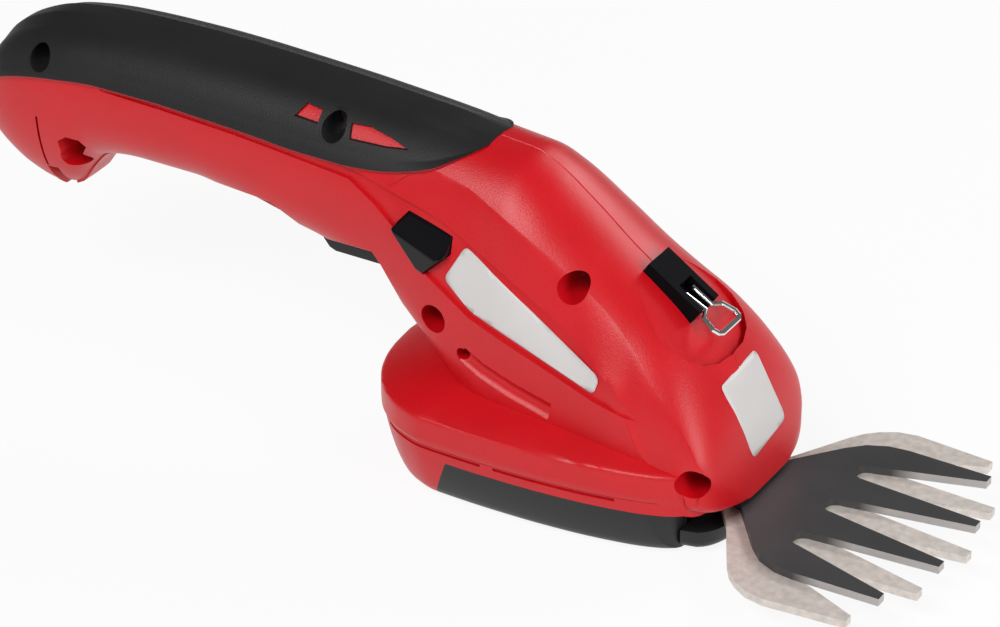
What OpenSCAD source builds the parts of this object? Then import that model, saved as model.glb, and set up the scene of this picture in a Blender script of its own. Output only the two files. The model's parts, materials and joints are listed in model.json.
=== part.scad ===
// Cordless grass shears: moulded housing, two toothed blades and their gear drive.
// X points forward, Y left and Z up. The origin is the centre of the flat sole.

/* [Body] */
// Length from the tail of the handle to the nose
body_len = 224; // [190:1:260]
// Height of the handle top above the sole
body_h = 90; // [70:1:110]
// Thickness of the soft grip cover
grip_t = 1.3; // [1:0.1:2.5]
// Wall of the housing
wall = 2.2; // [1.6:0.1:3]

/* [Pod] */
// Length of the base pod
pod_len = 101.5; // [80:0.5:120]
// Full width of the base pod
pod_w = 71; // [60:1:90]
// Height of the pod crown above the sole
pod_h = 32; // [26:0.5:40]
// Height of the joint between pod and bottom cover
rim_z = 15.5; // [12:0.5:20]
// Height of the black band of the sole shoe
shoe_z = 12; // [8:0.5:14]
// Floor and side thickness of the shoe and bottom cover
floor_t = 2; // [1.5:0.1:3]
// Distance from the blade pivot back to the front end of the bottom cover
band_gap = 4; // [3:0.5:8]
// Rear end of the black band at its foot
shoe_rear = 23; // [18:0.5:30]

/* [Housing screws] */
// Radius of the screw counterbores
bore_r = 3.7; // [3:0.1:4.5]
// Radius of the screw shanks
shank_r = 1.6; // [1.2:0.1:2]
// Radius of the screw heads
head_r = 3.1; // [2.6:0.1:3.6]
// Height of the screw heads
head_h = 2.2; // [1.5:0.1:3]
// Radius of the screw bosses
boss_r = 4.6; // [4:0.1:6]
// Depth from the parting plane to the counterbore floors
seat_depth = 4; // [3:0.5:6]
// Length of the screws below the head
screw_len = 14; // [10:0.5:20]

/* [Blades] */
// Distance from the nose back to the blade pivot
pivot_in = 12; // [10:0.5:16]
// Height of the top face of the lower blade
shear_z = 8; // [6:0.5:10]
// Thickness of each blade
blade_t = 2; // [1.5:0.1:3]
// Half width of the lower blade
blade_half = 41.4; // [35:0.2:50]
// Reach of the lower blade tips from the pivot
lower_reach = 64.7; // [55:0.1:75]
// Reach of the upper blade tips from the pivot
upper_reach = 63; // [53:0.1:74]
// Distance from the pivot back to the point where the teeth converge
fan_back = 140; // [100:1:200]
// Half width of a tooth tip
tip_half = 1.4; // [1:0.1:2.5]
// Half width of the gaps of the lower blade
gap_half = 4; // [3:0.1:5]
// Half width of the slots of the upper blade
slot_half = 3.2; // [2.5:0.1:4]
// Distance from the pivot to the roots of the lower gaps
gap_root = 36.6; // [30:0.1:45]
// Distance from the pivot to the slot centres of the upper blade
slot_root = 30; // [25:0.1:40]
// Radius of the pivot bolt
pivot_r = 3; // [2.5:0.1:4]
// Distance from the pivot to the end of the blade tails
tail_reach = 19.8; // [18:0.1:21]
// Half width of the blade tails
tail_half = 7; // [6:0.1:9]

/* [Drive] */
// Gear module
gear_size = 0.6; // [0.5:0.05:0.8]
// Distance from the blade pivot back to the crank axis
crank_arm = 13.6; // [12:0.1:15]
// Throw of the crank pin
crank_throw = 3; // [2:0.1:3.5]
// Radius of the crank pin
crank_pin_r = 1.8; // [1.4:0.1:2.2]
// Radius of the crank shaft
crank_r = 2.5; // [2:0.1:3]
// Radius of the crank disc
disc_r = 5.4; // [5:0.1:6]
// Underside of the gear tray
tray_z = 21.8; // [20:0.1:24]
// Thickness of the gear tray
tray_t = 1.6; // [1.2:0.1:2.5]
// Face width of the gears
gear_face = 3; // [2.5:0.1:4]
// Radius of the motor can
motor_r = 12.2; // [10:0.1:14]
// Length of the motor can
motor_len = 19; // [16:0.5:22]
// Underside of the motor
motor_z = 33; // [31:0.1:36]
// Height of the motor end cap
cap_h = 3; // [2:0.1:5]
// Radius of the motor shaft
shaft_r = 1; // [0.8:0.1:1.6]
// Radius of the compound gear axle
axle_r = 1.5; // [1:0.1:2]

/* [Battery] */
// Radius of a cell
cell_r = 9.15; // [8:0.05:9.5]
// Distance of the cell axes from the centre plane
cell_y = 9.6; // [9.3:0.1:11]
// Height of the cell axes
cell_z = 12.2; // [11:0.1:14]
// Thickness of the nickel straps
strap_t = 0.3; // [0.2:0.05:0.5]

/* [Controls] */
// Place of the trigger pin along the body
trig_x_share = 0.5446; // [0.5:0.0001:0.6]
// Height of the trigger pin between rim and handle top
trig_z_share = 0.557; // [0.5:0.001:0.6]
// Height of the trigger pad underside between rim and handle top
trig_low_share = 0.38; // [0.3:0.001:0.45]
// Half width of the trigger
trig_half = 7.3; // [6:0.1:9]
// Reach of the trigger pad behind its pin
trig_reach = 19.5; // [16:0.1:24]
// Radius of the trigger pin
trig_pin_r = 1.5; // [1:0.1:2]
// Place of the lock buttons along the body
lock_x_share = 0.6205; // [0.6:0.0001:0.63]
// Height of the lock buttons between rim and handle top
lock_z_share = 0.611; // [0.55:0.001:0.65]
// Length of a lock button
lock_len = 15.4; // [12:0.1:20]
// Outer face of a lock button from the centre plane
lock_out = 23.4; // [21:0.1:26]
// Inner face of the lock button flange from the centre plane
lock_in = 13; // [11:0.1:15]

/* [Latch] */
// Place of the latch block along the body
latch_x_share = 0.8839; // [0.86:0.0001:0.9]
// Length of the latch block
latch_len = 16.6; // [13:0.1:20]
// Width of the latch block
latch_w = 9.6; // [8:0.1:12]
// Height of the latch block above its seat
latch_h = 2.6; // [2:0.1:5]
// Radius of the bail wire
wire_r = 0.7; // [0.5:0.05:1]
// Reach of the bail from its hinge
bail_len = 13; // [11:0.1:20]
// Half width of the bail at its open end
bail_half = 5.4; // [4:0.1:7]

/* [Fits] */
// Gap round parts that slide or swing
slide_gap = 0.3; // [0.2:0.05:0.6]
// Radial gap of running fits
run_gap = 0.05; // [0.02:0.01:0.1]
// Overrun of cutting shapes
over = 1; // [0.5:0.5:3]

/* [Counts] */
// Teeth of the motor pinion
pinion_teeth = 10; // [9:1:14]
// Teeth of the large compound wheel
wheel_teeth = 40; // [30:1:48]
// Teeth of the small compound wheel
small_teeth = 12; // [10:1:16]
// Teeth of the crank gear
crank_teeth = 36; // [30:1:44]
// Points on each quarter of a housing section
quarter = 5; // [4:1:10]

/* [Hidden] */
$fn = 40;
// Angle between neighbouring teeth seen from where they converge
fan_step = 5.65;
// Angle between neighbouring tooth tips seen from the pivot
sweep_step = 18;
// Slope of the bail against the latch block at rest
bail_slope = -4.6;
pod_half = pod_w / 2;
// Ends of the pod, and the share of the body at which the handle meets it
pod_back = pod_len * 0.48768;
nose_x = pod_len - pod_back;
neck_share = 0.634;
// The front of the body goes with the pod, and the handle takes up the rest of the length
front_len = pod_len * 0.8077;
handle_len = body_len - front_len;
neck_x = nose_x - front_len;
tail_back = body_len - nose_x;
pivot_x = nose_x - pivot_in;
band_front = pivot_x - band_gap;
shoe_front = pivot_x;
crank_x = pivot_x - crank_arm;
cell_len = pod_len * 0.49064;
cell_front = pivot_x - tail_reach - 3 * slide_gap;
trig_x = -place(trig_x_share);
trig_z = height(trig_z_share);
trig_low = height(trig_low_share);
lock_x = -place(lock_x_share);
lock_z = height(lock_z_share);
latch_x = place(latch_x_share);
tray_top = tray_z + tray_t;
small_pitch = gear_size * (small_teeth + crank_teeth) / 2;
wheel_pitch = gear_size * (pinion_teeth + wheel_teeth) / 2;
wheel_x = crank_x - small_pitch;
motor_x = wheel_x - wheel_pitch;
crank_gear_z = tray_top + gear_size;
wheel_z = crank_gear_z + gear_face + 2 * gear_size;
upper_z = shear_z + run_gap;
upper_top = upper_z + blade_t;
lower_z = shear_z - blade_t;
cell_rear = cell_front - cell_len;
// Rows of the upper body: place along the body, then top, widest point and underside from
// the rim to the handle top, half width, and two powers that set how square the section is.
spine_shares = [
  [0.000, 0.6509, 0.6110, 0.5699, 0.085, 2.20, 2.2],
  [0.004, 0.7028, 0.6170, 0.5095, 0.225, 2.30, 2.2],
  [0.016, 0.7765, 0.6376, 0.4564, 0.338, 2.40, 2.2],
  [0.036, 0.8478, 0.6642, 0.3960, 0.411, 2.50, 2.2],
  [0.067, 0.9034, 0.6907, 0.3356, 0.451, 2.50, 2.2],
  [0.098, 0.9384, 0.7052, 0.3090, 0.465, 2.50, 2.2],
  [0.123, 0.9529, 0.7113, 0.3356, 0.473, 2.50, 2.2],
  [0.143, 0.9613, 0.7185, 0.4165, 0.479, 2.50, 2.3],
  [0.165, 0.9686, 0.7246, 0.4830, 0.479, 2.50, 2.4],
  [0.232, 0.9795, 0.7318, 0.5168, 0.479, 2.50, 2.5],
  [0.299, 0.9831, 0.7318, 0.5168, 0.479, 2.50, 2.5],
  [0.344, 0.9819, 0.7246, 0.5011, 0.479, 2.50, 2.6],
  [0.411, 0.9758, 0.6980, 0.4636, 0.485, 2.50, 2.8],
  [0.473, 0.9686, 0.6581, 0.4395, 0.501, 2.50, 3.0],
  [0.536, 0.9577, 0.5977, 0.3960, 0.535, 2.45, 3.2],
  [0.580, 0.9493, 0.5434, 0.3235, 0.580, 2.35, 3.4],
  [0.625, 0.9396, 0.4697, 0.2148, 0.634, 2.25, 3.8],
  [0.679, 0.9227, 0.4093, 0.0601, 0.682, 2.20, 4.5],
  [0.710, 0.9142, 0.3827, 0.0070, 0.704, 2.15, 6.0],
  [0.737, 0.8792, 0.3561, 0.0046, 0.718, 2.15, 6.0],
  [0.786, 0.7753, 0.3126, 0.0046, 0.732, 2.15, 6.0],
  [0.835, 0.6581, 0.2679, 0.0046, 0.749, 2.15, 6.0],
  [0.866, 0.5941, 0.2377, 0.0046, 0.761, 2.15, 6.0],
  [0.902, 0.5252, 0.2027, 0.0046, 0.766, 2.15, 6.0],
  [0.929, 0.4540, 0.1677, 0.0046, 0.766, 2.15, 6.0],
  [0.951, 0.3694, 0.1387, -0.0341, 0.761, 2.15, 6.0],
  [0.971, 0.2703, 0.1048, -0.0546, 0.732, 2.15, 6.0],
  [0.983, 0.1918, 0.0734, -0.0546, 0.659, 2.15, 6.0],
  [0.992, 0.1085, 0.0336, -0.0546, 0.549, 2.20, 5.0],
  [0.998, 0.0203, -0.0136, -0.0546, 0.408, 2.30, 4.0],
  [1.000, -0.0341, -0.0474, -0.0546, 0.296, 2.30, 3.0]];
// Plan of the pod from stern to nose: place along it and half width.
plan_shares = [
  [0.000, 0.000], [0.007, 0.225], [0.025, 0.437], [0.058, 0.634], [0.108, 0.806], [0.172, 0.930],
  [0.246, 0.992], [0.369, 1.000], [0.488, 0.992], [0.633, 0.961], [0.744, 0.913], [0.852, 0.834],
  [0.930, 0.690], [0.955, 0.500], [0.968, 0.250], [0.972, 0.000]];
// Levels of the pod wall and shoulder: height and inset.
pod_shares = [
  [0.484, 0.017], [0.531, 0.000], [0.688, 0.000], [0.725, 0.017], [0.747, 0.051], [0.844, 0.310],
  [1.000, 0.732]];
// Places of the stern sections along the pod, and of the front sections along the body
stern_shares = [0.003, 0.012, 0.030, 0.058, 0.108, 0.150];
front_shares = [neck_share, 0.645, 0.660, 0.679, 0.710, 0.737, 0.786, 0.835, 0.866, 0.902, 0.929, 0.951,
  0.971, 0.983, 0.992, 0.998, 1.000];
// Steps down the pod side, and the least half width of a section
side_shares = [0.222, 0.287, 0.398, 0.861, 1.000];
side_min = 0.01;
// Levels of the lower tub: height, inset and how far the stern is drawn in.
tub_shares = [[0.000, 0.163, 0.130], [0.052, 0.118, 0.115], [0.194, 0.079, 0.095],
  [0.774, 0.025, 0.030], [1.000, 0.014, 0.007]];
// Lower edge of the grip cover: place along the body and height from the rim to the handle top.
grip_shares = [
  [0.000, 0.6376], [0.052, 0.7523], [0.123, 0.8043], [0.192, 0.8285], [0.260, 0.8297], [0.326, 0.8236],
  [0.392, 0.8140], [0.458, 0.8031], [0.509, 0.8031], [0.548, 0.8115], [0.584, 0.8309], [0.618, 0.8574],
  [0.642, 0.8901], [0.662, 0.9179], [0.674, 0.9372], [0.678, 0.9638]];
// Screw holes: place along the body and height from the rim to the handle top.
hole_shares = [[0.107, 0.8562], [0.494, 0.8961], [0.803, 0.6026], [0.642, 0.3754], [0.967, 0.0795]];
// Outer edge of the lower blade from neck to outer tooth: place and half width.
lower_edge_shares = [[0.062, 0.240], [0.150, 0.423], [0.272, 0.773], [0.309, 0.857], [0.351, 0.918],
  [0.413, 0.976], [0.490, 1.000]];
// Outer edge of the upper blade, drawn the same way.
upper_edge_shares = [[0.080, 0.217], [0.155, 0.270], [0.232, 0.425], [0.309, 0.580], [0.371, 0.676],
  [0.448, 0.732], [0.526, 0.748]];
// Outline of a lock button round its middle, in parts of its length.
lock_shares = [[-0.50, 0.20], [-0.30, 0.44], [0.48, 0.22], [0.50, -0.02], [0.12, -0.39], [-0.02, -0.34]];
// Half of the bail in its own plane: reach and half width.
bail_shares = [[0.00, 0.38], [0.48, 0.30], [0.58, 0.80], [0.85, 1.00], [0.96, 0.92], [1.00, 0.76]];

// Point on a rounded-square quarter, from its top at step 0 to its side at the last step
function corner(i, p) = let(t = 90 * (1 - i / quarter))
  [pow(cos(t), 2 / p), pow(sin(t), 2 / p)];

// Place along the tool, and height, of a share of the body
function place(s) = s < neck_share ? neck_x - (1 - s / neck_share) * handle_len
  : nose_x - (1 - s) / (1 - neck_share) * front_len;
function height(s) = rim_z + s * (body_h - rim_z);

// Value of a column of the body rows at a place along the tool
function row_at(x, k) = lookup(x, [for (r = spine_shares) [place(r[0]), r[k]]]);
// Heights of the top, widest line and underside of the upper body
function top_at(x) = height(row_at(x, 1));
function mid_at(x) = height(row_at(x, 2));
function low_at(x) = height(row_at(x, 3));

// Half width of the lower flank of the upper body at a height
function flank_y(x, z) = let(p = row_at(x, 6), s = min((mid_at(x) - z) / (mid_at(x) - low_at(x)), 0.97))
  row_at(x, 4) * pod_half * pow(1 - pow(max(s, 0), p), 1 / p);

// Half width of the pod at a height
function pod_y(x, z) =
  let(inset = pod_half * lookup(z, [for (s = pod_shares) [s[0] * pod_h, s[1]]]),
      mid = pod_len / 2 - pod_back, reach = 1 - 2 * inset / pod_len)
  lookup(((x - mid) / reach + mid + pod_back) / pod_len, plan_shares) * (pod_half - inset);

// Height of the pod crown on the centre plane behind the neck
function crown_at(x) = pod_h * lookup((x + pod_back) / pod_half,
  [for (i = [2 : len(pod_shares) - 1]) [pod_shares[i][1], pod_shares[i][0]]]);

// Height of the crease between neck and pod, found by halving the span it lies in
function crease(x, a, b, n) = n == 0 ? a :
  let(m = (a + b) / 2) flank_y(x, m) > pod_y(x, m) ? crease(x, a, m, n - 1) : crease(x, m, b, n - 1);

// Upper half of a half section, from the top to the widest point
function upper_arc(x) = [for (i = [1 : quarter]) let(c = corner(i, row_at(x, 5)))
  [x, -row_at(x, 4) * pod_half * c[0], mid_at(x) + (top_at(x) - mid_at(x)) * c[1]]];

// Flank below the widest point, down to a given height
function lower_arc(x, low) = [for (i = [quarter - 1 : -1 : 1])
  let(z = mid_at(x) - (mid_at(x) - low) * corner(i, row_at(x, 6))[1]) [x, -flank_y(x, z), z]];

// Pod side from a given height down to its foot
function side_arc(x, high, foot) = concat([for (w = side_shares) let(z = high - (high - foot) * w)
  [x, -max(flank_y(x, z) * (x < neck_x ? 0 : 1), pod_y(x, z), pod_half * side_min), z]], [[x, 0, foot]]);

// Half section of the handle
function handle_ring(x) =
  concat([[x, 0, top_at(x)]], upper_arc(x), lower_arc(x, low_at(x)), [[x, 0, low_at(x)]]);

// Half section of the pod stern, behind the neck
function stern_ring(x) = concat([[x, 0, crown_at(x)]], side_arc(x, crown_at(x), rim_z));

// Half section through the neck or nose and the pod
function front_ring(x) =
  let(foot = min(rim_z, low_at(x)), open = x <= neck_x,
      joint = min(crease(x, rim_z, pod_h, 14), mid_at(x) - (mid_at(x) - foot) / 5),
      high = open ? crown_at(x) : joint)
  concat([[x, 0, top_at(x)]], upper_arc(x), lower_arc(x, high),
    [[x, open ? 0 : -max(flank_y(x, high), pod_y(x, high)), high]], side_arc(x, high, foot));

// One half level of the pod or tub, drawn in by a given amount
function level(z, inset, draw, lip) =
  let(mid = pod_len / 2 - pod_back, reach = (pod_len / 2 - inset) / (pod_len / 2),
      front = mid - pod_len / 4)
  concat([for (i = [0 : len(plan_shares) - 1]) let(s = plan_shares[i],
      x0 = mid + (s[0] * pod_len - pod_back - mid) * reach,
      x = x0 < front ? front - (front - x0) * (1 - draw) : x0,
      y = -s[1] * (pod_half - inset))
    [x, (i == 0 || i == len(plan_shares) - 1) ? lip : y, z]]);

// Closed solid through rows of points that start and end on one plane
module skin(rows) {
  n = len(rows[0]);
  m = len(rows);
  polyhedron(
    points = [for (r = rows) for (p = r) p],
    faces = concat(
      [for (i = [0 : m - 2]) for (j = [0 : n - 2]) [i * n + j, i * n + j + 1, (i + 1) * n + j]],
      [for (i = [0 : m - 2]) for (j = [0 : n - 2]) [i * n + j + 1, (i + 1) * n + j + 1, (i + 1) * n + j]],
      [for (i = [0 : m - 2]) [i * n + n - 1, i * n, (i + 1) * n]],
      [for (i = [0 : m - 2]) [i * n + n - 1, (i + 1) * n, (i + 1) * n + n - 1]],
      [[for (j = [n - 1 : -1 : 0]) j]],
      [[for (j = [0 : n - 1]) (m - 1) * n + j]]));
}

// Right half of the body: the handle and the pod stern run forward and join at the neck
module body_half() {
  handle = [for (i = [0 : 16]) handle_ring(place(spine_shares[i][0]))];
  stern = [for (s = stern_shares) stern_ring(s * pod_len - pod_back)];
  front = [for (s = front_shares) front_ring(place(s))];
  a = len(handle[0]);
  b = len(stern[0]);
  c = len(front[0]);
  b0 = len(handle) * a;
  c0 = b0 + len(stern) * b;
  rows_a = concat([for (i = [0 : len(handle) - 1]) i * a], [c0]);
  rows_b = concat([for (i = [0 : len(stern) - 1]) b0 + i * b], [c0 + a - 1]);
  rows_c = [for (i = [0 : len(front) - 1]) c0 + i * c];
  function band(rows, n) = concat(
    [for (i = [0 : len(rows) - 2]) for (j = [0 : n - 2]) [rows[i] + j, rows[i] + j + 1, rows[i + 1] + j]],
    [for (i = [0 : len(rows) - 2]) for (j = [0 : n - 2])
      [rows[i] + j + 1, rows[i + 1] + j + 1, rows[i + 1] + j]]);
  function closing(rows, n, first) = concat(
    [for (i = [first : len(rows) - 2]) [rows[i] + n - 1, rows[i], rows[i + 1]]],
    [for (i = [first : len(rows) - 2]) [rows[i] + n - 1, rows[i + 1], rows[i + 1] + n - 1]]);
  last = rows_c[len(rows_c) - 1];
  polyhedron(
    points = concat([for (r = handle) each r], [for (r = stern) each r], [for (r = front) each r]),
    faces = concat(band(rows_a, a), band(rows_b, b), band(rows_c, c),
      closing(rows_a, a, 0), closing(rows_b, b, 0), closing(rows_c, c, 1),
      [[c0 + a - 1, c0, c0 + c], [c0 + c - 1, c0 + a - 1, c0 + c], [c0 + c - 1, c0 + c, c0 + 2 * c - 1]],
      [[for (j = [a - 1 : -1 : 0]) j], [for (j = [b - 1 : -1 : 0]) b0 + j],
        [for (j = [0 : c - 1]) last + j]]));
}

// Side view of a space inside the upper body, with the posts that stand in it left out
module room_plan(list, inset, grow) {
  rows = [for (i = list) spine_shares[i]];
  n = len(rows) - 1;
  difference() {
    polygon(concat([for (r = rows) [place(r[0]), height(r[1]) - inset]],
      [for (i = [n : -1 : 0]) [place(rows[i][0]), height(rows[i][3]) + inset]]));
    for (s = hole_shares) translate([place(s[0]), height(s[1])]) circle(boss_r + grow);
    for (k = [0.2, 0.8]) translate([board_rear + k * board_len, board_z]) circle(wall + grow);
    translate([-trig_x - trig_reach / 2, switch_z + trig_half * 0.7]) circle(wall + grow);
    translate([-trig_x, trig_z]) circle(trig_pin_r + wall + grow);
    translate([-eye_x, eye_z]) circle(eye_r + wall + grow);
    translate([-lock_x, lock_z]) lock_outline(lock_room + wall + grow);
    for (z = rib_z) translate([motor_x - motor_r * 1.1, z - grow]) square([motor_r * 2.2, rib_t + 2 * grow]);
  }
}

// Space inside the upper body between two depths to the right of the parting plane
module room(list, inset, near, far, grow) {
  translate([0, -near, 0]) rotate([90, 0, 0]) linear_extrude(far - near) room_plan(list, inset, grow);
}

// Space inside the pod between two heights
module pod_room(inset, low, high) {
  translate([0, 0, low]) linear_extrude(high - low) difference() {
    polygon([for (q = level(0, inset, 0, over)) [min(q[0], room_front), q[1]]]);
    translate([ear_rear[0], -ear_rear[1]]) circle(ear_boss_r);
  }
}

// Right half of the lower tub
module tub(inset, lip = 0) {
  last = len(tub_shares) - 1;
  skin([for (i = [last : -1 : 0]) let(s = tub_shares[i])
    level(i == last ? rim_z + (inset > 0 ? over : 0) : s[0] * rim_z + inset,
      s[1] * pod_half + inset, s[2], lip)]);
}

// Copies a right half to both sides
module both() {
  children();
  mirror([0, 1, 0]) children();
}

// Prism across the tool, drawn in the XZ plane
module across(half) {
  rotate([90, 0, 0]) linear_extrude(2 * half, center = true) children();
}

// Places a shape at each housing screw
module at_holes() {
  for (s = hole_shares) translate([place(s[0]), 0, height(s[1])]) rotate([90, 0, 0]) children();
}

// Middle of the lock button outline
module lock_outline(grow) {
  offset(delta = grow) polygon([for (s = lock_shares) s * lock_len]);
}

// Places a shape at the lock buttons, with its Z axis pointing out to the right
module at_lock() {
  translate([-lock_x, 0, lock_z]) rotate([90, 0, 0]) children();
}

// Places of the base screws
ear_front = [crank_x + bore_r, cell_y + cell_r + shank_r / 2];
ear_rear = [cell_rear - boss_r * 1.3, cell_y];

// Places a shape at the front base screws
module at_front_ears() {
  for (s = [-1, 1]) translate([ear_front[0], s * ear_front[1], 0]) children();
}

// Places a shape at the rear base screws
module at_rear_ears() {
  for (s = [-1, 1]) translate([ear_rear[0], s * ear_rear[1], 0]) children();
}

ear_boss_r = shank_r * 2;
ear_top = pod_h - wall;
rear_seat = rim_z;
rear_top = pod_h * 0.82;
rib_t = wall;
rib_z = [motor_z + 2 * rib_t, motor_z + motor_len - 4 * rib_t];
board_t = gear_size * 2.6;
board_z = trig_z + trig_half;
board_len = handle_len * 0.33;
board_rear = -trig_x - trig_reach - board_len - wall * 3;
switch_half = board_t * 2;
switch_z = trig_z + trig_half * 0.8;
switch_len = trig_reach;
pin_len = trig_half + wall * 2;
socket_r = bore_r * 1.1;
socket_z = height(0.617);
socket_len = 3.4 * bore_r;
eye_x = -place(0.138);
eye_z = height(0.4866);
eye_r = bore_r * 0.85;
rail_half = wall * 0.8;
// The latch block lies on the top line of the nose
latch_z = top_at(latch_x);
latch_slope = atan(0.9344 * (top_at(latch_x - latch_len / 2) - top_at(latch_x + latch_len / 2)) / latch_len);
// Depths of the three steps of the room in the upper body
room_y = [pod_half * 0.3, pod_half * 0.39, pod_half * 0.465];
room_front = pivot_x - pivot_r / 2;
lock_room = wall / 2 + slide_gap;
flange_t = wall;

// Round bar pointing right from a place on the centre plane, between two depths
module peg(x, z, r, near, far) {
  translate([x, -near, z]) rotate([90, 0, 0]) cylinder(r = r, h = far - near);
}

// One housing half, less any further cuts given as children
module half_shell() {
  difference() {
    body_half();
    // Spaces for the works
    room([8, 9, 11, 13, 15, 17, 18, 20, 22, 24], wall * 2, -over, room_y[0], 0);
    room([8, 9, 11, 13, 15, 17, 18, 20, 22, 24], wall * 3.4, room_y[0] - over, room_y[1], wall / 4);
    room([17, 18, 20, 21], wall * 5.3, room_y[1] - over, room_y[2], wall / 2);
    pod_room(wall * 1.3, rim_z - over, pod_shares[2][0] * pod_h - over);
    pod_room(wall * 2.7, rim_z, tray_top);
    pod_room(wall * 6.4, rim_z + over, pod_shares[5][0] * pod_h - over);
    // Seats of the crank gear, motor, switch, board, trigger, nut and socket
    translate([crank_x, 0, tray_top])
      cylinder(r = gear_size * (crank_teeth / 2 + 1) + slide_gap, h = gear_face + 3 * gear_size);
    translate([motor_x, 0, motor_z - over]) cylinder(r = motor_r, h = motor_len + cap_h + over);
    translate([-trig_x - switch_len, -switch_half, switch_z])
      cube([switch_len * 1.1, switch_half + over, trig_half * 1.4]);
    translate([board_rear, -board_t / 2, board_z - trig_half * 0.6])
      cube([board_len, board_t / 2 + over, trig_half * 2]);
    translate([-trig_x - trig_reach * 1.15, -trig_half - slide_gap, trig_low - trig_half])
      cube([trig_reach * 1.15 + slide_gap, trig_half + slide_gap + over,
        trig_z - trig_low + trig_half + over]);
    peg(-trig_x, trig_z, trig_pin_r * 2 + slide_gap, -over, trig_half + slide_gap);
    peg(-trig_x, trig_z, trig_pin_r, -over, pin_len);
    translate([pivot_x, 0, shear_z]) cylinder(r = pivot_r * 2.4, h = rim_z - shear_z + wall);
    translate([-tail_back - over, 0, socket_z]) rotate([0, 90, 0])
      cylinder(r = socket_r, h = socket_len + over);
    // Seats of the lock button, its spring and the latch block, and the hanging eye
    at_lock() translate([0, 0, rail_half])
      linear_extrude(lock_in + flange_t - rail_half) lock_outline(lock_room);
    at_lock() translate([0, 0, lock_in]) linear_extrude(pod_half) lock_outline(slide_gap);
    peg(-eye_x, eye_z, eye_r, -over, pod_half);
    latch_seat();
    // Base screw holes
    translate([ear_front[0], -ear_front[1], tray_z]) cylinder(r = shank_r, h = ear_top - tray_z - wall);
    translate([ear_rear[0], -ear_rear[1], rim_z - over]) cylinder(r = shank_r, h = rear_top - rim_z);
    children();
  }
}

// Cut that seats the latch block in the nose
module latch_seat() {
  translate([latch_x, 0, latch_z]) rotate([0, latch_slope, 0])
    translate([-latch_len / 2, -latch_w / 2, -latch_h]) cube([latch_len, latch_w, 4 * latch_h]);
}

module housing_right() {
  color("red") half_shell() {
    at_holes() translate([0, 0, seat_depth]) cylinder(r = bore_r, h = pod_half);
    at_holes() translate([0, 0, -over]) cylinder(r = shank_r + slide_gap, h = seat_depth + 2 * over);
  }
}

module housing_left() {
  color("red") mirror([0, 1, 0]) half_shell()
    at_holes() translate([0, 0, -over]) cylinder(r = shank_r, h = screw_len - seat_depth + over);
}

// Arc of the handle top at a place along the tool, from the grip edge on one side to the other
function grip_arc(x, proud) =
  let(half = row_at(x, 4) * pod_half + proud, mid = mid_at(x), p = row_at(x, 5),
      up = top_at(x) - mid + proud,
      edge = min(height(lookup(x, [for (s = grip_shares) [place(s[0]), s[1]]])) - mid, up * 0.995),
      low = asin(pow(max(edge, 0) / up, p / 2)))
  [for (i = [-quarter : quarter]) let(t = 90 - (90 - low) * abs(i) / quarter)
    [x, sign(i) * half * pow(cos(t), 2 / p), mid + up * pow(sin(t), 2 / p)]];

// Curved sheet between two stacks of arcs
module sheet(outer, inner) {
  m = len(outer);
  n = len(outer[0]);
  back = m * n;
  function at(i, j) = i * n + j;
  polyhedron(
    points = concat([for (r = outer) for (q = r) q], [for (r = inner) for (q = r) q]),
    faces = concat(
      [for (i = [0 : m - 2]) for (j = [0 : n - 2]) [at(i, j), at(i, j + 1), at(i + 1, j)]],
      [for (i = [0 : m - 2]) for (j = [0 : n - 2]) [at(i, j + 1), at(i + 1, j + 1), at(i + 1, j)]],
      [for (i = [0 : m - 2]) for (j = [0 : n - 2]) back * [1, 1, 1] + [at(i, j), at(i + 1, j), at(i, j + 1)]],
      [for (i = [0 : m - 2]) for (j = [0 : n - 2])
        back * [1, 1, 1] + [at(i, j + 1), at(i + 1, j), at(i + 1, j + 1)]],
      [for (j = [0 : n - 2]) [at(0, j), back + at(0, j), at(0, j + 1)]],
      [for (j = [0 : n - 2]) [at(0, j + 1), back + at(0, j), back + at(0, j + 1)]],
      [for (j = [0 : n - 2]) [at(m - 1, j), at(m - 1, j + 1), back + at(m - 1, j)]],
      [for (j = [0 : n - 2]) [at(m - 1, j + 1), back + at(m - 1, j + 1), back + at(m - 1, j)]],
      [for (i = [0 : m - 2]) [at(i, 0), at(i + 1, 0), back + at(i, 0)]],
      [for (i = [0 : m - 2]) [at(i + 1, 0), back + at(i + 1, 0), back + at(i, 0)]],
      [for (i = [0 : m - 2]) [at(i, n - 1), back + at(i, n - 1), at(i + 1, n - 1)]],
      [for (i = [0 : m - 2]) [at(i + 1, n - 1), back + at(i, n - 1), back + at(i + 1, n - 1)]]));
}

module grip_cover() {
  end_shares = [0.642, 0.662, 0.674];
  stops = [for (s = concat([for (i = [0 : 16]) spine_shares[i][0]], end_shares)) place(s)];
  color("dimgray") difference() {
    sheet([for (x = stops) grip_arc(x, grip_t)], [for (x = stops) grip_arc(x, 0)]);
    at_holes() translate([0, 0, seat_depth]) cylinder(r = bore_r, h = pod_half);
  }
}

// Space taken by the black shoe
module shoe_zone(front) {
  lean = shoe_z * 0.42;
  across(pod_half)
    polygon([[-shoe_rear, -over], [front, -over], [front, shoe_z], [lean - shoe_rear, shoe_z]]);
}

module tub_shell() {
  difference() {
    both() tub(0);
    both() tub(floor_t, over);
  }
}

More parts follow.
